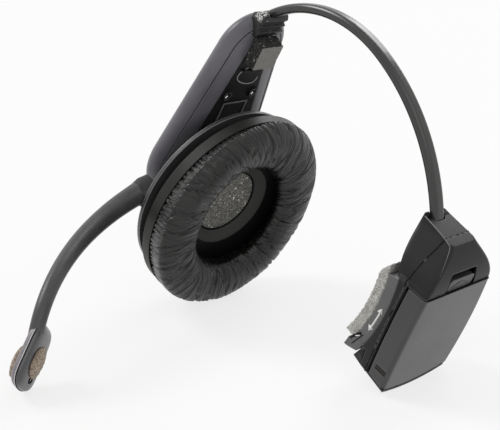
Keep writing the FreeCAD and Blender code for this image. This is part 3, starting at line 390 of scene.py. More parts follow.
# Ear cushion: a soft ring of dark synthetic leather over foam, drawn together in short gathers where
# it is sewn to the skirt, slack enough to crease across its crown and to lean off its seat.
CUSHION_RING = 34.0
CUSHION_MIDDLE = 4.0
CUSHION_HALF_WIDTH = 9.7
CUSHION_HALF_HEIGHT = 8.3
CUSHION_FULLNESS = 2.25
CUSHION_LEAN = (-3.5, 3.3)
CUSHION_LEAN_RISE = 6.5
CUSHION_TILT = (-0.058, 0.063)
CUSHION_SEAT = 0.05
CUSHION_WALL = 43.75
CUSHION_PUFF = (3.1, 0.70)
CUSHION_COLUMNS = 1000
CUSHION_ROWS = 110
CUSHION_SWELL = 0.55
SEAM_WAY = -0.45
GATHERS = 118
GATHER_DEPTH = 0.85
GATHER_REACH = (0.16, 0.5)
CREASES = ((0.70, 8, 0.10, 0.10, 0.0), (0.40, 20, 0.08, 0.2, 5.0), (0.16, 40, 0.12, 0.3, 9.0))
HOLE_CREASES = (0.8, 12, 0.05, 0.2, 21.0)
HOLE_WAY = 3.35
LEATHER_TONES = ((0.3, (0.006, 0.0056, 0.0053)), (0.72, (0.015, 0.0142, 0.0135)))
CREASE_SCALE = (110.0, 3.4, 1.0)
CREASE_SLANT = 0.015


def valley(turn, way, depth, count, drift, width, seed):
    """A crease across the ring: its depth on its line, 0 away from it."""
    bent = turn + drift * way
    spot = Vector((math.cos(bent) * count, math.sin(bent) * count, way * 0.5 + seed))
    return depth * max(0.0, 1 - abs(noise.noise(spot)) / width)


def wander(turn, way, count, seed):
    """A soft wave round the ring, about as many times as the count."""
    return noise.noise(Vector((math.cos(turn) * count, math.sin(turn) * count, way + seed)))


def cushion_spot(turn, way):
    """A point of the cover, from its turn about the ear axis and its way round the section."""
    gather_turn = turn * GATHERS + 3.4 * wander(turn, 0.0, 14, 2.0)
    number = round(gather_turn / (2 * math.pi)) % GATHERS
    gather = (1 - abs(math.sin(gather_turn / 2))) ** 1.5
    shortest, spare = GATHER_REACH
    reach = shortest + spare * abs(noise.cell(Vector((number, 7.0, 0.0)))) ** 1.5
    outer = math.exp(-(max(0.0, way - SEAM_WAY) / reach) ** 2)
    inner = math.exp(-((way - HOLE_WAY) / 0.5) ** 2)
    crown = max(0.0, min(1.0, (way + 0.35) / 0.7)) * max(0.0, min(1.0, (3.6 - way) / 0.7))
    patch = 0.5 + 0.9 * wander(turn, way * 0.8, 3.1, 14)
    long, common, fine = [valley(turn, way, *crease) for crease in CREASES]
    step = CUSHION_SWELL * wander(turn, way * 1.2, 2.1, 3)
    step -= GATHER_DEPTH * outer * gather
    step -= inner * valley(turn, way, *HOLE_CREASES)
    step -= crown * (long + max(0.0, patch) * common + max(0.0, 1 - patch) * fine)
    power = 2 / CUSHION_FULLNESS
    side, up = math.cos(way), math.sin(way)
    out = CUSHION_RING + math.copysign(abs(side) ** power, side) * CUSHION_HALF_WIDTH
    if side < 0:
        puff, toward = CUSHION_PUFF
        out += puff * side * max(0.0, math.cos(turn - toward))
    rise = CUSHION_MIDDLE + math.copysign(abs(up) ** power, up) * CUSHION_HALF_HEIGHT
    if side > 0 > up and rise > CUSHION_SEAT:
        out = max(out, CUSHION_WALL - 0.5 * (rise / CUSHION_MIDDLE))
    out, rise = out + step * side, rise + step * up
    back, height = out * math.cos(turn), out * math.sin(turn)
    lean = max(0.0, min(1.0, rise / CUSHION_LEAN_RISE))
    rise += lean * (CUSHION_TILT[0] * height - CUSHION_TILT[1] * back)
    spot = EAR @ (Vector((max(rise, CUSHION_SEAT), back + CUSHION_LEAN[0] * lean,
                          height + CUSHION_LEAN[1] * lean)) * MM)
    spot.z = max(spot.z, 0.0001)
    return spot


cover = bmesh.new()
uv_layer = cover.loops.layers.uv.new("cover")
rings = []
for column in range(CUSHION_COLUMNS):
    turn = (column / CUSHION_COLUMNS) * 2 * math.pi - math.pi / 2
    rings.append([cover.verts.new(cushion_spot(turn, -math.pi / 2 + row / CUSHION_ROWS * 2 * math.pi))
                  for row in range(CUSHION_ROWS)])
for column in range(CUSHION_COLUMNS):
    for row in range(CUSHION_ROWS):
        ahead, above = (column + 1) % CUSHION_COLUMNS, (row + 1) % CUSHION_ROWS
        face = cover.faces.new((rings[column][row], rings[ahead][row], rings[ahead][above],
                                rings[column][above]))
        for loop, (right, over) in zip(face.loops, ((0, 0), (1, 0), (1, 1), (0, 1))):
            share = (row + over) / CUSHION_ROWS
            loop[uv_layer].uv = ((column + right) / CUSHION_COLUMNS + CREASE_SLANT * share, share)

leather, tree, shader = new_material("dark_leather", Specular_IOR_Level=0.42)
place = tree.nodes.new("ShaderNodeTexCoord")
tone_clouds = add_node(tree, "ShaderNodeTexNoise", Scale=70.0, Detail=5.0, Roughness=0.6)
tones = tree.nodes.new("ShaderNodeValToRGB")
for element, (position, tone) in zip(tones.color_ramp.elements, LEATHER_TONES):
    element.position = position
    element.color = (*tone, 1.0)
stretch = add_node(tree, "ShaderNodeMapping", Scale=CREASE_SCALE)
creases = add_node(tree, "ShaderNodeTexNoise", Scale=1.0, Detail=2.0, Roughness=0.5, Distortion=0.5)
crease_lines = add_node(tree, "ShaderNodeMapRange", From_Min=0.0, From_Max=0.055)
crease_lines.interpolation_type = "SMOOTHSTEP"
pores = add_node(tree, "ShaderNodeTexVoronoi", Scale=1900.0)
shine = add_node(tree, "ShaderNodeMapRange", From_Min=0.3, From_Max=0.7, To_Min=0.25, To_Max=0.40)
crease_bump = add_node(tree, "ShaderNodeBump", Strength=1.0, Distance=0.00022)
pore_bump = add_node(tree, "ShaderNodeBump", Strength=0.35, Distance=0.00005)
wire(tree, (place, "Object", tone_clouds, "Vector"), (place, "Object", pores, "Vector"),
     (place, "UV", stretch, "Vector"), (stretch, "Vector", creases, "Vector"),
     (tone_clouds, "Fac", tones, "Fac"), (tone_clouds, "Fac", shine, "Value"),
     (crease_lines, "Result", crease_bump, "Height"), (pores, "Distance", pore_bump, "Height"),
     (crease_bump, "Normal", pore_bump, "Normal"), (tones, "Color", shader, "Base Color"),
     (shine, "Result", shader, "Roughness"), (pore_bump, "Normal", shader, "Normal"))
off_line = math_node(tree, "SUBTRACT", creases.outputs["Fac"], 0.5)
tree.links.new(math_node(tree, "ABSOLUTE", off_line, 0.0), crease_lines.inputs["Value"])
cushion_cover = place_piece("cushion_cover", cover, leather, "root", "cushion", "ear_cushion")


def bead(name, points, radius, material, body, home, closed=False, smooth=True, fade=0.0):
    """A thin moulded line that runs through points of a working frame, in millimetres, and thins out
    towards its last point by the fade."""
    data = bpy.data.curves.new(name, "CURVE")
    data.dimensions = "3D"
    data.bevel_depth = radius * MM
    data.bevel_resolution = 3
    data.use_fill_caps = True
    line = data.splines.new("NURBS" if smooth else "POLY")
    line.points.add(len(points) - 1)
    for number, (spot, point) in enumerate(zip(line.points, points)):
        spot.co = (*(home @ (Vector(point) * MM)), 1.0)
        spot.radius = 1 - fade * number / (len(points) - 1)
    line.use_cyclic_u = closed
    if smooth:
        line.order_u = 3
        line.use_endpoint_u = not closed
    data.materials.append(material)
    piece = new_object(name, data)
    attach(piece, body)
    return piece


seam_plastic = plastic("seam_plastic", (0.005, 0.005, 0.005), 0.65, specular=0.1)
SEAM_RADIUS = 43.9
SEAM_DEPTH = 0.02
FOAM_GAP_RADIUS = 14.9


def circle(depth, radius, middle=(0.0, 0.0), count=72):
    """Points round a circle that faces along a working frame's x."""
    turns = [2 * math.pi * step / count for step in range(count)]
    return [(depth, middle[0] + radius * math.cos(turn), middle[1] + radius * math.sin(turn))
            for turn in turns]


for name, depth, radius, thick, slot in (("cushion_seam", SEAM_DEPTH, SEAM_RADIUS, 0.26, "cushion"),
                                         ("speaker_gap", SPEAKER_FOAM_FACE, FOAM_GAP_RADIUS, 0.42, "dish")):
    bead(name, circle(depth, radius), thick, seam_plastic, "root", EAR, closed=True)

# Boom ring and collar: a thin turned disc between the cup and the pod, its rim pale with a painted
# highlight, with a moulded collar on its near edge that grips the boom.
# The ring's strong pale edge tone paints a highlight along its rim.
dress(plastic("ring_plastic", (0.045, 0.045, 0.045), 0.32, edge=8.0, specular=0.5, Edge_Radius=0.0005,
              Edge_Wear=0.9), "boom_ring")
collar_plastic = plastic("collar_plastic", (0.016, 0.016, 0.018), 0.42, specular=0.3)
COLLAR_SHOULDER = 9.0
COLLAR_SHARE = 0.5
COLLAR_MOUTH = -37.5


def reshaped(name, source, material, body, slot, home, longest, move, crisp=32.0):
    """A finer copy of a CAD piece, its vertices moved in a working frame, that stands for the piece.
    Edges that turn more than the crisp angle stay sharp."""
    made = bmesh.new()
    made.from_mesh(nodes[source].data)
    bmesh.ops.remove_doubles(made, verts=made.verts, dist=0.000001)
    for _ in range(5):
        long_edges = [edge for edge in made.edges if edge.calc_length() > longest * MM]
        if not long_edges:
            break
        bmesh.ops.subdivide_edges(made, edges=long_edges, cuts=1)
        bmesh.ops.triangulate(made, faces=made.faces)
    inside = home.inverted()
    for vertex in made.verts:
        vertex.co = home @ (Vector(move(*(inside @ vertex.co / MM))) * MM)
    piece = place_piece(name, made, material, body, slot, source)
    piece.data.set_sharp_from_angle(angle=math.radians(crisp))
    return piece


def collar_trim(side, along, up):
    """Trim the collar's mouth and its top so that they sit close on the boom."""
    if up > COLLAR_SHOULDER:
        up = COLLAR_SHOULDER + (up - COLLAR_SHOULDER) * COLLAR_SHARE
    if along < COLLAR_MOUTH:
        along = COLLAR_MOUTH + (along - COLLAR_MOUTH) * COLLAR_SHARE
    return side, along, up


reshaped("collar_body", "boom_collar", collar_plastic, "boom", "hub", EAR, 6.0, collar_trim)

# Boom: a flexible metal core in a thick sleeve of soft dark rubber that tapers towards the head. The
# sleeve is satin, with a fine matt grain and greyer patches where it is handled.
dress(plastic("boom_rubber", (0.042, 0.041, 0.042), 0.38, cloud=1.6, specular=0.42, Cloud_Scale=60.0,
              Grain_Scale=1800.0, Grain_Depth=0.00003), "boom_tube")

# Microphone head: two halves of thin smoky plastic, the front one darker, that part down the side and
# close round the boom's end. A soft tan foam pad sits over each mouth, and a dark screw near the tip.
MIC_FOAM_RADIUS = 6.0
MIC_FOAM_DOME = 1.1
MIC_PAD_SHIFT = 0.9
MIC_PAD_SUNK = 2.0
MIC_PAD_TURN = -11.0
MIC_REAR_PAD_OUT = 0.1
HEAD_RISE = 2.2
HEAD_PARTING = 0.9
HEAD_SLIM = 0.94
HEAD_REAR_SHARE = 0.8
HEAD_REAR_TRIM = 0.5
HEAD_FRONT_SPARE = 0.4
HEAD_FAR_TAPER = 0.3
HEAD_BLUNT = 6.0
HEAD_SQUARE = 0.6
HEAD_ROWS = 32
HEAD_SLICES = 24
SCREW_SHIFT = (-0.1, 2.65, 1.5)
SCREW_SUNK = 0.2
SCREW_WELL = 1.2


def points_of(piece, home):
    """A piece's vertices in a working frame, in millimetres."""
    inside = home.inverted()
    return [inside @ vertex.co / MM for vertex in piece.data.vertices]


def box_of(points):
    """The least and the greatest of some points along each axis."""
    return [(min(point[axis] for point in points), max(point[axis] for point in points)) for axis in range(3)]


def middle_of(points):
    """The mean of some points."""
    return sum(points, Vector()) / len(points)


def facing(direction):
    """A turn that brings x round to a direction."""
    return direction.to_track_quat("X", "Z").to_matrix().to_4x4()


# The front shell's pale edge tone paints a highlight along its rim and the parting.
mic_plastic = plastic("mic_plastic", (0.033, 0.031, 0.034), 0.17, cloud=1.7, edge=6.0, specular=0.7,
                      Cloud_Scale=150.0, Edge_Radius=0.0008, Edge_Wear=0.8)
mic_rear_plastic = plastic("mic_rear_plastic", (0.15, 0.136, 0.150), 0.32, cloud=1.5, edge=3.0,
                           specular=0.5, Cloud_Scale=120.0, Edge_Radius=0.0008)
seam_highlight_paint = plastic("seam_highlight_paint", (0.42, 0.41, 0.43), 0.25)
dress(plastic("capsule_metal", (0.5, 0.5, 0.5), 0.3, metallic=1.0), "mic_capsule")
screw_metal = plastic("screw_metal", (0.09, 0.09, 0.09), 0.25, metallic=1.0, Edge_Radius=0.0002)
glint_metal = plastic("glint_metal", (0.85, 0.85, 0.85), 0.2, metallic=1.0, Edge_Radius=0.0001)
tan_foam = foam("tan_foam", (0.46, 0.37, 0.29), (0.17, 0.132, 0.10), (0.7, 0.62, 0.52), 1700.0, 0.94,
                depth=0.0004, sheen=0.2)
mic_middle = {name: middle_of([vertex.co for vertex in nodes[name].data.vertices])
              for name in ("mic_front_foam", "mic_rear_foam", "mic_screw")}
mouth = (mic_middle["mic_front_foam"] - mic_middle["mic_rear_foam"]).normalized()
mic_center = (mic_middle["mic_front_foam"] + mic_middle["mic_rear_foam"]) / 2
mic_long = mic_middle["mic_screw"] - mic_center
mic_long = (mic_long - mouth * mic_long.dot(mouth)).normalized()
head_turn = Matrix((mouth, mouth.cross(mic_long), -mic_long)).transposed().to_4x4()
HEAD = Matrix.Translation(mic_center) @ head_turn
shell_points = points_of(nodes["mic_front_shell"], HEAD) + points_of(nodes["mic_rear_shell"], HEAD)
(head_back, head_front), (head_near, head_far), (head_low, head_top) = box_of(shell_points)
head_top += HEAD_RISE
head_middle = (head_near + head_far) / 2
head_half = HEAD_SLIM * (head_far - head_near) / 2
front_reach = head_front + HEAD_FRONT_SPARE - HEAD_PARTING
rear_reach = head_back * HEAD_REAR_SHARE + HEAD_REAR_TRIM - HEAD_PARTING


def head_height(share):
    """A height on the head, from its tip at 0 to its top at 1; even steps lie closer at both ends."""
    return head_low + (head_top - head_low) * (1 - math.cos(math.pi * share)) / 2


def head_share(up):
    """The head's girth at a height, as a share of its greatest; it closes in a round at both ends."""
    rise = (up - head_low) / (head_top - head_low)
    return max(0.0, 1 - abs(2 * rise - 1) ** HEAD_BLUNT) ** 0.5


def head_width(up, far):
    """The head's half width at a height; its far side draws in towards the boom."""
    rise = (up - head_low) / (head_top - head_low)
    return head_half * head_share(up) * (1 - (HEAD_FAR_TAPER * rise if far > 0 else 0.0))


def head_skin(across, up):
    """A point on the front half's skin."""
    share = min(1.0, abs(across - head_middle) / head_width(up, across - head_middle))
    depth = front_reach * head_share(up) * (1 - share ** (2 / HEAD_SQUARE)) ** (HEAD_SQUARE / 2)
    return HEAD_PARTING + depth, across, up


def head_half_shell(reach):
    """One half of the head: a deep oval skin, closed by a flat face on the parting plane."""
    made = bmesh.new()
    rows = []
    for up in [head_height(step / HEAD_ROWS) for step in range(HEAD_ROWS + 1)]:
        row = []
        for slice_number in range(HEAD_SLICES + 1):
            turn = math.pi * (slice_number / HEAD_SLICES - 0.5)
            out = reach * head_share(up) * max(0.0, math.cos(turn)) ** HEAD_SQUARE
            across = math.copysign(abs(math.sin(turn)) ** HEAD_SQUARE, turn)
            skin = Vector((HEAD_PARTING + out, head_middle + head_width(up, across) * across, up))
            row.append(made.verts.new(HEAD @ (skin * MM)))
        rows.append(row)
    for low, high in zip(rows, rows[1:]):
        for here in range(HEAD_SLICES + 1):
            ahead = (here + 1) % (HEAD_SLICES + 1)
            made.faces.new((low[here], low[ahead], high[ahead], high[here]))
    bmesh.ops.remove_doubles(made, verts=made.verts, dist=0.00001)
    bmesh.ops.dissolve_degenerate(made, edges=made.edges, dist=0.00001)
    return made


for name, reach, material in (("mic_front", front_reach, mic_plastic),
                              ("mic_rear", rear_reach, mic_rear_plastic)):
    cover = place_piece(name + "_cover", head_half_shell(reach), material, "boom", "mic_shell",
                        name + "_shell")
    cover.data.set_sharp_from_angle(angle=math.radians(50))
head_line = [(side, head_height(step / 24 if side > 0 else 1 - step / 24))
             for side in (-1, 1) for step in range(24)]
# A pale bead beside the parting groove is a painted highlight along the seam.
for name, depth, material in (("mic_seam_highlight", -0.2, seam_highlight_paint), ("mic_seam", 0.16, seam_plastic)):
    line = [(HEAD_PARTING + depth, head_middle + side * head_width(up, side), up) for side, up in head_line]
    bead(name, line, 0.2, material, "boom", HEAD, closed=True)

pad_turn = Matrix.Rotation(math.radians(MIC_PAD_TURN), 3, mic_long)
for name, way in (("mic_front_foam", 1), ("mic_rear_foam", -1)):
    seat = Matrix.Translation(mic_middle[name] - mic_long * MIC_PAD_SHIFT * way * MM)
    (back, face), _, _ = box_of(points_of(nodes[name], seat @ facing(mouth * way)))
    face += MIC_REAR_PAD_OUT if way < 0 else 0.0
    shape = round_foam(MIC_FOAM_RADIUS, back - MIC_PAD_SUNK, face, MIC_FOAM_DOME,
                       seat @ facing(pad_turn @ mouth * way))
    foam_pad = foam_solid(26, (0.55, 0.12, 0.12), shape, rough=0.00022, fineness=1300.0)
    pad = place_piece(name.replace("foam", "pad"), foam_pad, tan_foam, "boom", "mic_foam", name)

screw_points = points_of(nodes["mic_screw"], HEAD)
screw_shift = HEAD.to_3x3().inverted() @ EAR.to_3x3() @ Vector(SCREW_SHIFT)
_, across, up = middle_of(screw_points) + screw_shift
screw_top = head_skin(across, up)[0] - SCREW_SUNK
screw_shift.x = screw_top - box_of(screw_points)[0][1]
reshaped("mic_fixing", "mic_screw", screw_metal, "boom", "screw", HEAD, 1.0,
         lambda *place: Vector(place) + screw_shift)
bead("mic_screw_well", [head_skin(*spot) for _, *spot in circle(0.0, SCREW_WELL, (across, up), 16)], 0.3,
     seam_plastic, "boom", HEAD, closed=True)
# The small bright bead on the screw head is a painted glint.
bead("mic_screw_glint", [(screw_top, across - 0.4, up), (screw_top, across + 0.4, up)], 0.22, glint_metal,
     "boom", HEAD)

# Pod: two satin shells that meet in a fine groove round the side, in a dark plastic with a violet
# cast. Keys, a board and a small indicator sit in the outer shell.
POD_LOW_RADIUS = 27.3
POD_TOP_RADIUS = 16.4
POD_LOW_CENTER = 7.0
POD_TOP_CENTER = 63.6
PART_DEPTH = 26.8
PART_INSET = 3.407
CLAMP_HALF_WIDTH = 6.5
PANEL_FACE = -24.86


def pod_outline(depth, inset, stop):
    """The pod's outline at a depth, from one side of the clamp down round the cup to the other."""
    low, top = POD_LOW_RADIUS - inset, POD_TOP_RADIUS - inset
    slope = math.asin((low - top) / (POD_TOP_CENTER - POD_LOW_CENTER))
    start = math.acos(stop / top)
    turns = [start + (slope - start) * step / 10 for step in range(11)]
    side = [(top * math.cos(turn), POD_TOP_CENTER + top * math.sin(turn)) for turn in turns]
    turns = [slope + (-math.pi / 2 - slope) * step / 16 for step in range(17)]
    side += [(low * math.cos(turn), POD_LOW_CENTER + low * math.sin(turn)) for turn in turns]
    side += [(-across, up) for across, up in side[-2::-1]]
    return [(-depth, across, up) for across, up in side]


dress(plastic("pod_plastic", (0.098, 0.093, 0.106), 0.38, cloud=1.35, edge=2.2, specular=0.45,
              Cloud_Scale=55.0, Grain_Depth=0.000015, Edge_Radius=0.0005), "pod_outer_shell",
      "pod_inner_shell")
# A paler bead beside the part groove is a painted highlight on the shell's edge.
lip_highlight_paint = plastic("lip_highlight_paint", (0.12, 0.115, 0.125), 0.4)
for name, back, inset, radius, material in (("pod_part_groove", 0.0, -0.02, 0.16, seam_plastic),
                                            ("pod_part_highlight", 0.28, 0.2, 0.12, lip_highlight_paint)):
    bead(name, pod_outline(PART_DEPTH - back, PART_INSET + inset, CLAMP_HALF_WIDTH), radius, material, "root",
         POD)
dress(plastic("key_rubber", (0.02, 0.02, 0.022), 0.55, specular=0.25), "power_button",
      "volume_up_button", "volume_down_button", "talk_button")
dress(plastic("board_lacquer", (0.015, 0.09, 0.04), 0.3, Cloud_Scale=300.0), "circuit_board")
dress(plastic("lens_plastic", (0.25, 0.32, 0.3), 0.12, specular=0.6), "indicator_window")

# Inner panel: a flat black plate on the head side of the pod, with a raised horseshoe rim pale with a painted
# highlight, two dark screws with painted glints in dark wells, a thin bare frame and a block of porous foam
# under the band.
HORSESHOE = ((-1.9, 57.5), (-4.3, 56.4), (-5.8, 54.0), (-5.0, 51.6), (-2.6, 50.0), (0.0, 49.1),
             (2.1, 48.7), (4.2, 48.9), (5.7, 50.0), (6.0, 51.7))
LUG = ((-4.3, 56.7), (-2.2, 56.0), (0.4, 55.6), (1.8, 56.2))
SCREW_PLACES = ((-6.9, 43.8), (6.9, 43.8))
PANEL_WELL = 2.45
BLOCK_OUTLINE = ((-24.86, 61.0), (-19.3, 61.0), (-19.3, 71.9), (-24.86, 72.9))
BLOCK_HALF_WIDTH = 5.8
BLOCK_TAPER = 0.04
panel_plastic = plastic("panel_plastic", (0.005, 0.005, 0.0052), 0.5, edge=4.0, specular=0.15)
dress(panel_plastic, "pod_inner_panel")
dress(plastic("frame_line", (0.10, 0.10, 0.10), 0.4), "label_frame")
# The horseshoe rim's pale tone is a painted highlight along the raised rim.
rim_highlight_paint = plastic("rim_highlight_paint", (0.17, 0.17, 0.172), 0.35)
for name, points, rise, radius, material in (("panel_horseshoe", HORSESHOE, 0.0, 0.28, rim_highlight_paint),
                                             ("panel_lug", LUG, 0.3, 0.75, panel_plastic)):
    bead(name, [(PANEL_FACE + rise, *point) for point in points], radius, material, "root", POD)
dress(screw_metal, "panel_screws")
screw_face = box_of(points_of(nodes["panel_screws"], POD))[0][1]
for number, (across, up) in enumerate(SCREW_PLACES):
    bead(f"screw_well_{number}", circle(PANEL_FACE, PANEL_WELL, (across, up), 12), 0.42, seam_plastic, "root",
         POD, closed=True)
    # A small bright bead on each screw head is a painted glint.
    bead(f"screw_glint_{number}", [(screw_face, across - 1.0, up - 0.5), (screw_face, across - 0.2, up + 0.4)],
         0.32, glint_metal, "root", POD)


def block_shape(side, along, up):
    """The porous block on the panel, wider at its foot, its corners cut with a knife."""
    share, rise = (side + 1) / 2, (up + 1) / 2
    back_low, front_low, front_top, back_top = [Vector(corner) for corner in BLOCK_OUTLINE]
    low, top = back_low.lerp(front_low, share), back_top.lerp(front_top, share)
    depth, height = low.x, low.y + (top.y - low.y) * rise
    return POD @ (Vector((depth, along * BLOCK_HALF_WIDTH * (1.0 - BLOCK_TAPER * share), height)) * MM)


black_foam = foam("black_foam", (0.055, 0.054, 0.052), (0.010, 0.010, 0.010), (0.55, 0.54, 0.5), 1300.0,
                  0.95, depth=0.0004)
cut_face = foam("cut_face", (0.215, 0.210, 0.195), (0.165, 0.160, 0.150), (0.34, 0.33, 0.31), 2600.0, 0.97,
                depth=0.00008)
foam_block = foam_solid(44, (0.07, 0.06, 0.06), block_shape, rough=0.00016, fineness=1200.0)
block = place_piece("porous_block", foam_block, black_foam, "root", "foam_block", "foam_block")
block.data.materials.append(cut_face)
outward = POD.to_3x3() @ Vector((1, 0, 0))
for face in block.data.polygons:
    face.material_index = int(face.normal.dot(outward) > 0.6)

# Band clamp: the ribbed grip at the pod's top that the band's end is pressed into. Its hood is rubbed
# bare by the band, and pale crumbs of worn plastic sit in the rubbed patch.
CRUMB_PLACE = (-27.0, -5.2, 81.8)
CRUMB_REACH = 6.0
CRUMB_TONE = (0.75, 0.75, 0.73, 1.0)
HOOD_BACK = -30.1
HOOD_LOW = 81.4
HOOD_STEEP = 0.75
HOOD_HIGH = 83.2
HOOD_FAR_RISE = 2.0
HOOD_HALF_WIDTH = 6.4
clamp_plastic = plastic("clamp_plastic", (0.016, 0.016, 0.017), 0.42, edge=5.0, specular=0.3,
                        Edge_Radius=0.0003, Edge_Wear=0.7)


def hood_slope(side, along, up):
    """Lower the hood and slope its back so that the pod's outline runs up into it."""
    high = HOOD_HIGH + HOOD_FAR_RISE * max(0.0, along / HOOD_HALF_WIDTH)
    return side, along, min(up, high, HOOD_LOW + (side - HOOD_BACK) * HOOD_STEEP)


reshaped("clamp_body", "band_clamp", clamp_plastic, "root", "shell", POD, 3.0, hood_slope)
tree = clamp_plastic.node_tree
shader = tree.nodes["Principled BSDF"]
place = tree.nodes.new("ShaderNodeTexCoord")
away_from = tree.nodes.new("ShaderNodeVectorMath")
away_from.operation = "DISTANCE"
away_from.inputs[1].default_value = POD @ (Vector(CRUMB_PLACE) * MM)
crumbs = add_node(tree, "ShaderNodeTexNoise", Scale=1500.0, Detail=3.0, Roughness=0.7)
near = add_node(tree, "ShaderNodeMapRange", From_Min=CRUMB_REACH * MM, From_Max=0.3 * CRUMB_REACH * MM,
                To_Min=-0.3, To_Max=0.14)
crumb_share = add_node(tree, "ShaderNodeMapRange", From_Min=0.62, From_Max=0.66)
crumb_mix = color_mix(tree)
crumb_mix.inputs["B"].default_value = CRUMB_TONE
finish = next(node for node in tree.nodes if node.bl_idname == "ShaderNodeGroup")
wire(tree, (place, "Object", away_from, 0), (place, "Object", crumbs, "Vector"),
     (away_from, "Value", near, "Value"), (crumb_share, "Result", crumb_mix, "Factor"),
     (finish, "Color", crumb_mix, "A"), (crumb_mix, "Result", shader, "Base Color"))
crumb_sum = math_node(tree, "ADD", crumbs.outputs["Fac"], near.outputs["Result"])
tree.links.new(crumb_sum, crumb_share.inputs["Value"])

# Headband: a sprung steel strip in a smooth dark sleeve with flat faces and round edges, bent over the
# head from the clamp to the battery housing.
dress(plastic("band_sleeve", (0.018, 0.0176, 0.0172), 0.26, cloud=1.5, specular=0.6, Cloud_Scale=45.0,
              Grain_Depth=0.000012), "headband_tube")

# Battery housing: a charcoal back and front shell with crisp ridges that carry a painted highlight, a fine
# spark-eroded grain, parted down the side, with a sliding latch in a window at the front.
FAR_BOW = (2.4, 1.3)
NEAR_BOW = (0.9, 1.6)
BATTERY_MIDDLE = (21.0, 23.0)
SHOULDER_MIDDLE = (53.0, 9.5)
HOUSING_MIDDLE = 0.9
HOUSING_HALF = 18.3
CAP_LOW = 60.4
CAP_EDGE = 97.4
CAP_SLOPE = 0.176
LIP_TOP = 4.0
LIP_FACE = 107.3
LIP_CORNER = 2.3
RIDGE = ((86.9, -5.6, 62.15), (92.0, -5.6, 61.3), (97.3, -5.7, 60.35), (99.3, -5.8, 59.75),
         (100.6, -5.9, 59.25), (101.3, -6.4, 58.4), (102.2, -7.4, 57.1), (103.2, -8.7, 55.6),
         (104.2, -9.95, 54.1), (105.3, -11.6, 51.9), (106.2, -12.9, 49.6))
PART_MIDDLE = (0.9, 30.0)
LATCH_GAP = 0.18
# The strong pale edge tone on the housing's obtuse ridges is a painted highlight; square edges get little of
# it.
housing_plastic = plastic("housing_plastic", (0.0095, 0.0095, 0.0097), 0.42, edge=16.0, specular=0.24,
                          Cloud_Scale=35.0, Grain_Scale=1600.0, Grain_Depth=0.000035, Edge_Radius=0.0006,
                          Edge_Wear=0.9, Sharp_Wear=0.1)


def barrel(side, along, up):
    """Bow the housing's sides outwards, the far one most, beside the battery and again at the shoulder."""
    low = max(0.0, 1 - ((up - BATTERY_MIDDLE[0]) / BATTERY_MIDDLE[1]) ** 2)
    high = max(0.0, 1 - ((up - SHOULDER_MIDDLE[0]) / SHOULDER_MIDDLE[1]) ** 2)
    share = (along - HOUSING_MIDDLE) / HOUSING_HALF
    bow = FAR_BOW if share > 0 else NEAR_BOW
    return side, along + share * (bow[0] * low + bow[1] * high), up


def back_form(side, along, up):
    """The back half: the barrel, with the cap left flat round the band's mouth."""
    return barrel(side, along, min(up, CAP_LOW + max(0.0, CAP_EDGE - side) * CAP_SLOPE))


def front_form(side, along, up):
    """The front half: the barrel, with the lower lip's far corner rounded like the battery's."""
    corner = min(1.0, max(0.0, along - HOUSING_MIDDLE - HOUSING_HALF + LIP_CORNER) / LIP_CORNER)
    if up < LIP_TOP:
        side = min(side, LIP_FACE - LIP_CORNER * (1 - math.sqrt(1 - corner * corner)))
    return barrel(side, along, up)


reshaped("housing_back", "housing_back_shell", housing_plastic, "battery_housing", "housing", EAR, 4.0,
         back_form, 13.0)
front_half = reshaped("housing_front", "housing_front_shell", housing_plastic, "battery_housing", "housing",
                      EAR, 4.0, front_form, 13.0)
reshaped("wedge_piece", "housing_wedge", housing_plastic, "battery_housing", "housing", EAR, 4.0, barrel)


def rim_points(points, middle):
    """The outermost of the points about a middle, one in every three degrees, in order."""
    outermost = {}
    for point in points:
        across, up = point.y - middle[0], point.z - middle[1]
        turn = round(math.degrees(math.atan2(up, across)) / 3)
        if turn not in outermost or outermost[turn][0] < math.hypot(across, up):
            outermost[turn] = (math.hypot(across, up), tuple(point))
    return [outermost[turn][1] for turn in sorted(outermost)]


front_points = points_of(front_half, EAR)
front_rim = box_of(front_points)[0][0]
part_line = rim_points([point for point in front_points if point.x < front_rim + 0.05], PART_MIDDLE)
bead("housing_part_line", part_line, 0.25, seam_plastic, "battery_housing", EAR, closed=True,
     smooth=False)
# A pale bead down the shoulder ridge is a painted highlight.
ridge_highlight_paint = plastic("ridge_highlight_paint", (0.16, 0.16, 0.16), 0.35, edge=1.5, specular=0.4)
bead("housing_ridge_highlight", [barrel(*point) for point in RIDGE], 0.2, ridge_highlight_paint, "battery_housing",
     EAR, smooth=False, fade=0.85)
latch_plastic = plastic("latch_plastic", (0.030, 0.030, 0.030), 0.38, edge=4.5, specular=0.45)
dress(latch_plastic, "latch_button")
dress(plastic("contact_metal", (0.7, 0.52, 0.2), 0.25, metallic=1.0), "battery_contacts")
(_, latch_face), (latch_near, latch_far), (latch_low, _) = box_of(points_of(nodes["latch_button"], EAR))
chevron = ((latch_near + 2.2, 1.5), ((latch_near + latch_far) / 2, 3.2), (latch_far - 2.2, 1.5))
lip = ((latch_near + 0.8, 0.5), (latch_far - 0.8, 0.5))
for name, radius, smooth, line in (("latch_chevron", 0.24, False, chevron), ("latch_lip", 0.18, True, lip)):
    bead(name, [(latch_face, along, latch_low + rise) for along, rise in line], radius, latch_plastic,
         "latch", EAR, smooth=smooth)
for name, along in (("latch_gap_near", latch_near - LATCH_GAP), ("latch_gap_far", latch_far + LATCH_GAP)):
    bead(name, [(latch_face - 0.25, along, latch_low + rise) for rise in (0.0, 5.2)], 0.22, seam_plastic,
         "battery_housing", EAR)

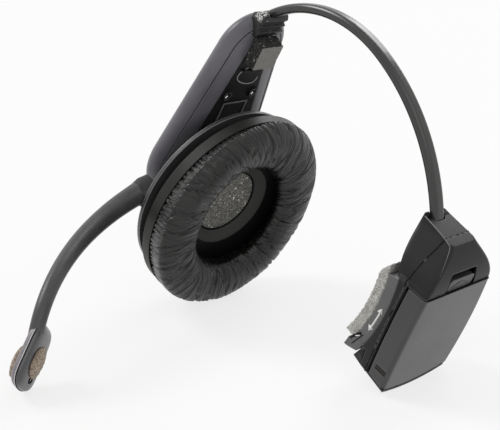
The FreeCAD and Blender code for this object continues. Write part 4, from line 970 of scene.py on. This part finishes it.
# Battery pack: a lighter charcoal case whose bare face bows across; a narrow dark inlay sits low on
# its near side.
TOP_GAP_BACK = 98.4
SIDE_GAP = (98.35, -17.0)
TOP_STRIP = 4.0
battery_plastic = plastic("battery_plastic", (0.0135, 0.0135, 0.0135), 0.27, edge=5.5, specular=0.7,
                          Cloud_Scale=30.0, Grain_Scale=1600.0, Grain_Depth=0.00003, Edge_Radius=0.0009)
battery_case = reshaped("battery_case", "battery_pack", battery_plastic, "battery", "battery", EAR, 4.0,
                        barrel, 13.0)
inlay_plastic = plastic("inlay_plastic", (0.012, 0.010, 0.008), 0.4, edge=5.0)
reshaped("battery_inlay", "battery_window", inlay_plastic, "battery", "window", EAR, 4.0, barrel)
case_points = points_of(battery_case, EAR)
battery_top = box_of(case_points)[2][1]
top_points = [point for point in case_points if point.z > battery_top - 0.3]
top_edge = {}
for point in top_points:
    strip = round(point.y / TOP_STRIP)
    if strip not in top_edge or top_edge[strip].x < point.x:
        top_edge[strip] = point
top_gap = [(TOP_GAP_BACK, box_of(top_points)[1][0])] + [top_edge[strip].xy for strip in sorted(top_edge)]
bead("battery_top_gap", [(*spot, battery_top + 0.2) for spot in top_gap], 0.3, seam_plastic, "battery",
     EAR, smooth=False)
bead("battery_side_gap", [barrel(*SIDE_GAP, up) for up in range(3, 45, 3)], 0.5, seam_plastic,
     "battery_housing", EAR)

# Temple pad: a stiff bent bracket that slides round inside the housing, faced with soft grey foam. A
# white double arrow on its near side shows which way it slides.
SLIDE_CENTER = (27.3, 30.6)
ARROW_RADIUS = 65.8
ARROW_TOP = -1.7
ARROW_LOW = -12.1
ARROW_HEAD = 2.4
ARROW_WIDE = 1.35
ARROW_NARROW = 0.38
END_TOP = 8.9
END_LOW = 1.4
END_TRIM = (1.9, 4.5)
TAB_REACH = 82.0
TAB_LENGTH = 6.6
TAB_BEND = 4.4
TAB_IN = 2.6
FOAM_INNER = 58.6
FOAM_ENDS = (-20.3, 10.2)
FOAM_SKEW = (1.0, 3.4)
FOAM_PINCH = (0.35, 0.9)
bracket_plastic = plastic("bracket_plastic", (0.095, 0.095, 0.097), 0.42, edge=2.6, specular=0.35)


def bracket_end(side, along, up):
    """Cut the bracket's lower end back square and draw its release tab in."""
    low = max(0.0, min(1.0, (END_TOP - up) / (END_TOP - END_LOW)))
    out = max(0.0, min(1.0, (side - TAB_REACH) / TAB_LENGTH))
    tab = max(0.0, 1 - max(0.0, side - TAB_REACH) / TAB_BEND) if up < END_TOP else 0.0
    return side + TAB_IN * tab + END_TRIM[0] * low * out, along, up + END_TRIM[1] * low * out


reshaped("pad_carrier", "pad_bracket", bracket_plastic, "temple_pad", "housing", EAR, 3.0, bracket_end, 12.0)
bracket_side = box_of(points_of(nodes["pad_bracket"], EAR))[1][0]


def on_arc(radius, angle, across):
    """A point on the sliding arc, at an angle in degrees above the arc's centre."""
    turn = math.radians(angle)
    return EAR @ (Vector((SLIDE_CENTER[0] + radius * math.cos(turn), across,
                          SLIDE_CENTER[1] + radius * math.sin(turn))) * MM)


length = ARROW_RADIUS * math.radians(ARROW_TOP - ARROW_LOW)
shaft = length - 2 * ARROW_HEAD
arrow_side = [(0, 0), (ARROW_HEAD, ARROW_WIDE)]
arrow_side += [(ARROW_HEAD + shaft * step / 8, ARROW_NARROW) for step in range(9)]
arrow_side += [(length - ARROW_HEAD, ARROW_WIDE), (length, 0)]
arrow_edge = arrow_side + [(run, -out) for run, out in arrow_side[-2:0:-1]]
arrow = bmesh.new()
layers = [[arrow.verts.new(on_arc(ARROW_RADIUS + out, ARROW_LOW + math.degrees(run / ARROW_RADIUS), across))
           for run, out in arrow_edge] for across in (bracket_side - 0.06, bracket_side + 0.1)]
arrow.faces.new(layers[0])
arrow.faces.new(layers[1][::-1])
for step in range(len(arrow_edge)):
    ahead = (step + 1) % len(arrow_edge)
    arrow.faces.new((layers[0][step], layers[1][step], layers[1][ahead], layers[0][ahead]))
arrow_paint = plastic("arrow_paint", (0.72, 0.72, 0.70), 0.5, cloud=1.15, edge=1.2, Cloud_Scale=600.0)
place_piece("slide_arrow", arrow, arrow_paint, "temple_pad", "trim_line")

# The short white bead on the release lug is a painted highlight.
for name, out, radius, material, line in (
        ("pad_slot", 0.0, 0.2, seam_plastic, ((87.6, 7.0), (90.5, 13.7))),
        ("release_lug", 0.0, 0.55, seam_plastic, ((87.2, 10.4), (89.4, 13.6))),
        ("release_lug_highlight", 0.7, 0.2, arrow_paint, ((88.3, 11.7), (89.7, 13.0)))):
    bead(name, [(side, bracket_side - out, up) for side, up in line], radius, material, "temple_pad",
         EAR)

foam_points = points_of(nodes["temple_foam"], EAR)
foam_outer = max(math.hypot(point.x - SLIDE_CENTER[0], point.z - SLIDE_CENTER[1]) for point in foam_points)
foam_near, foam_far = box_of(foam_points)[1]


def temple_shape(side, along, up):
    """The temple foam: a thick strip bent round the sliding arc, its upper end cut on a slant."""
    share = (side + 1) / 2
    low, top = FOAM_ENDS[0] + FOAM_SKEW[0] * share, FOAM_ENDS[1] + FOAM_SKEW[1] * share
    angle = (top + low) / 2 + up * (top - low) / 2
    across = (foam_far + foam_near) / 2 + along * (foam_far - foam_near) / 2
    pinch = FOAM_PINCH[0] * along ** 8 + FOAM_PINCH[1] * max(0.0, up) ** 6
    return on_arc(foam_outer - (foam_outer - FOAM_INNER - pinch) * (1 - share), angle, across)


temple_fabric = foam("temple_fabric", (0.46, 0.45, 0.42), (0.24, 0.235, 0.215), (0.62, 0.62, 0.6), 1600.0,
                     0.95, depth=0.0003, sheen=0.3)
strip = foam_solid(60, (0.35, 0.05, 0.05), temple_shape, rough=0.0003, fineness=900.0)
temple_strip = place_piece("temple_strip", strip, temple_fabric, "temple_pad", "pad_foam", "temple_foam")
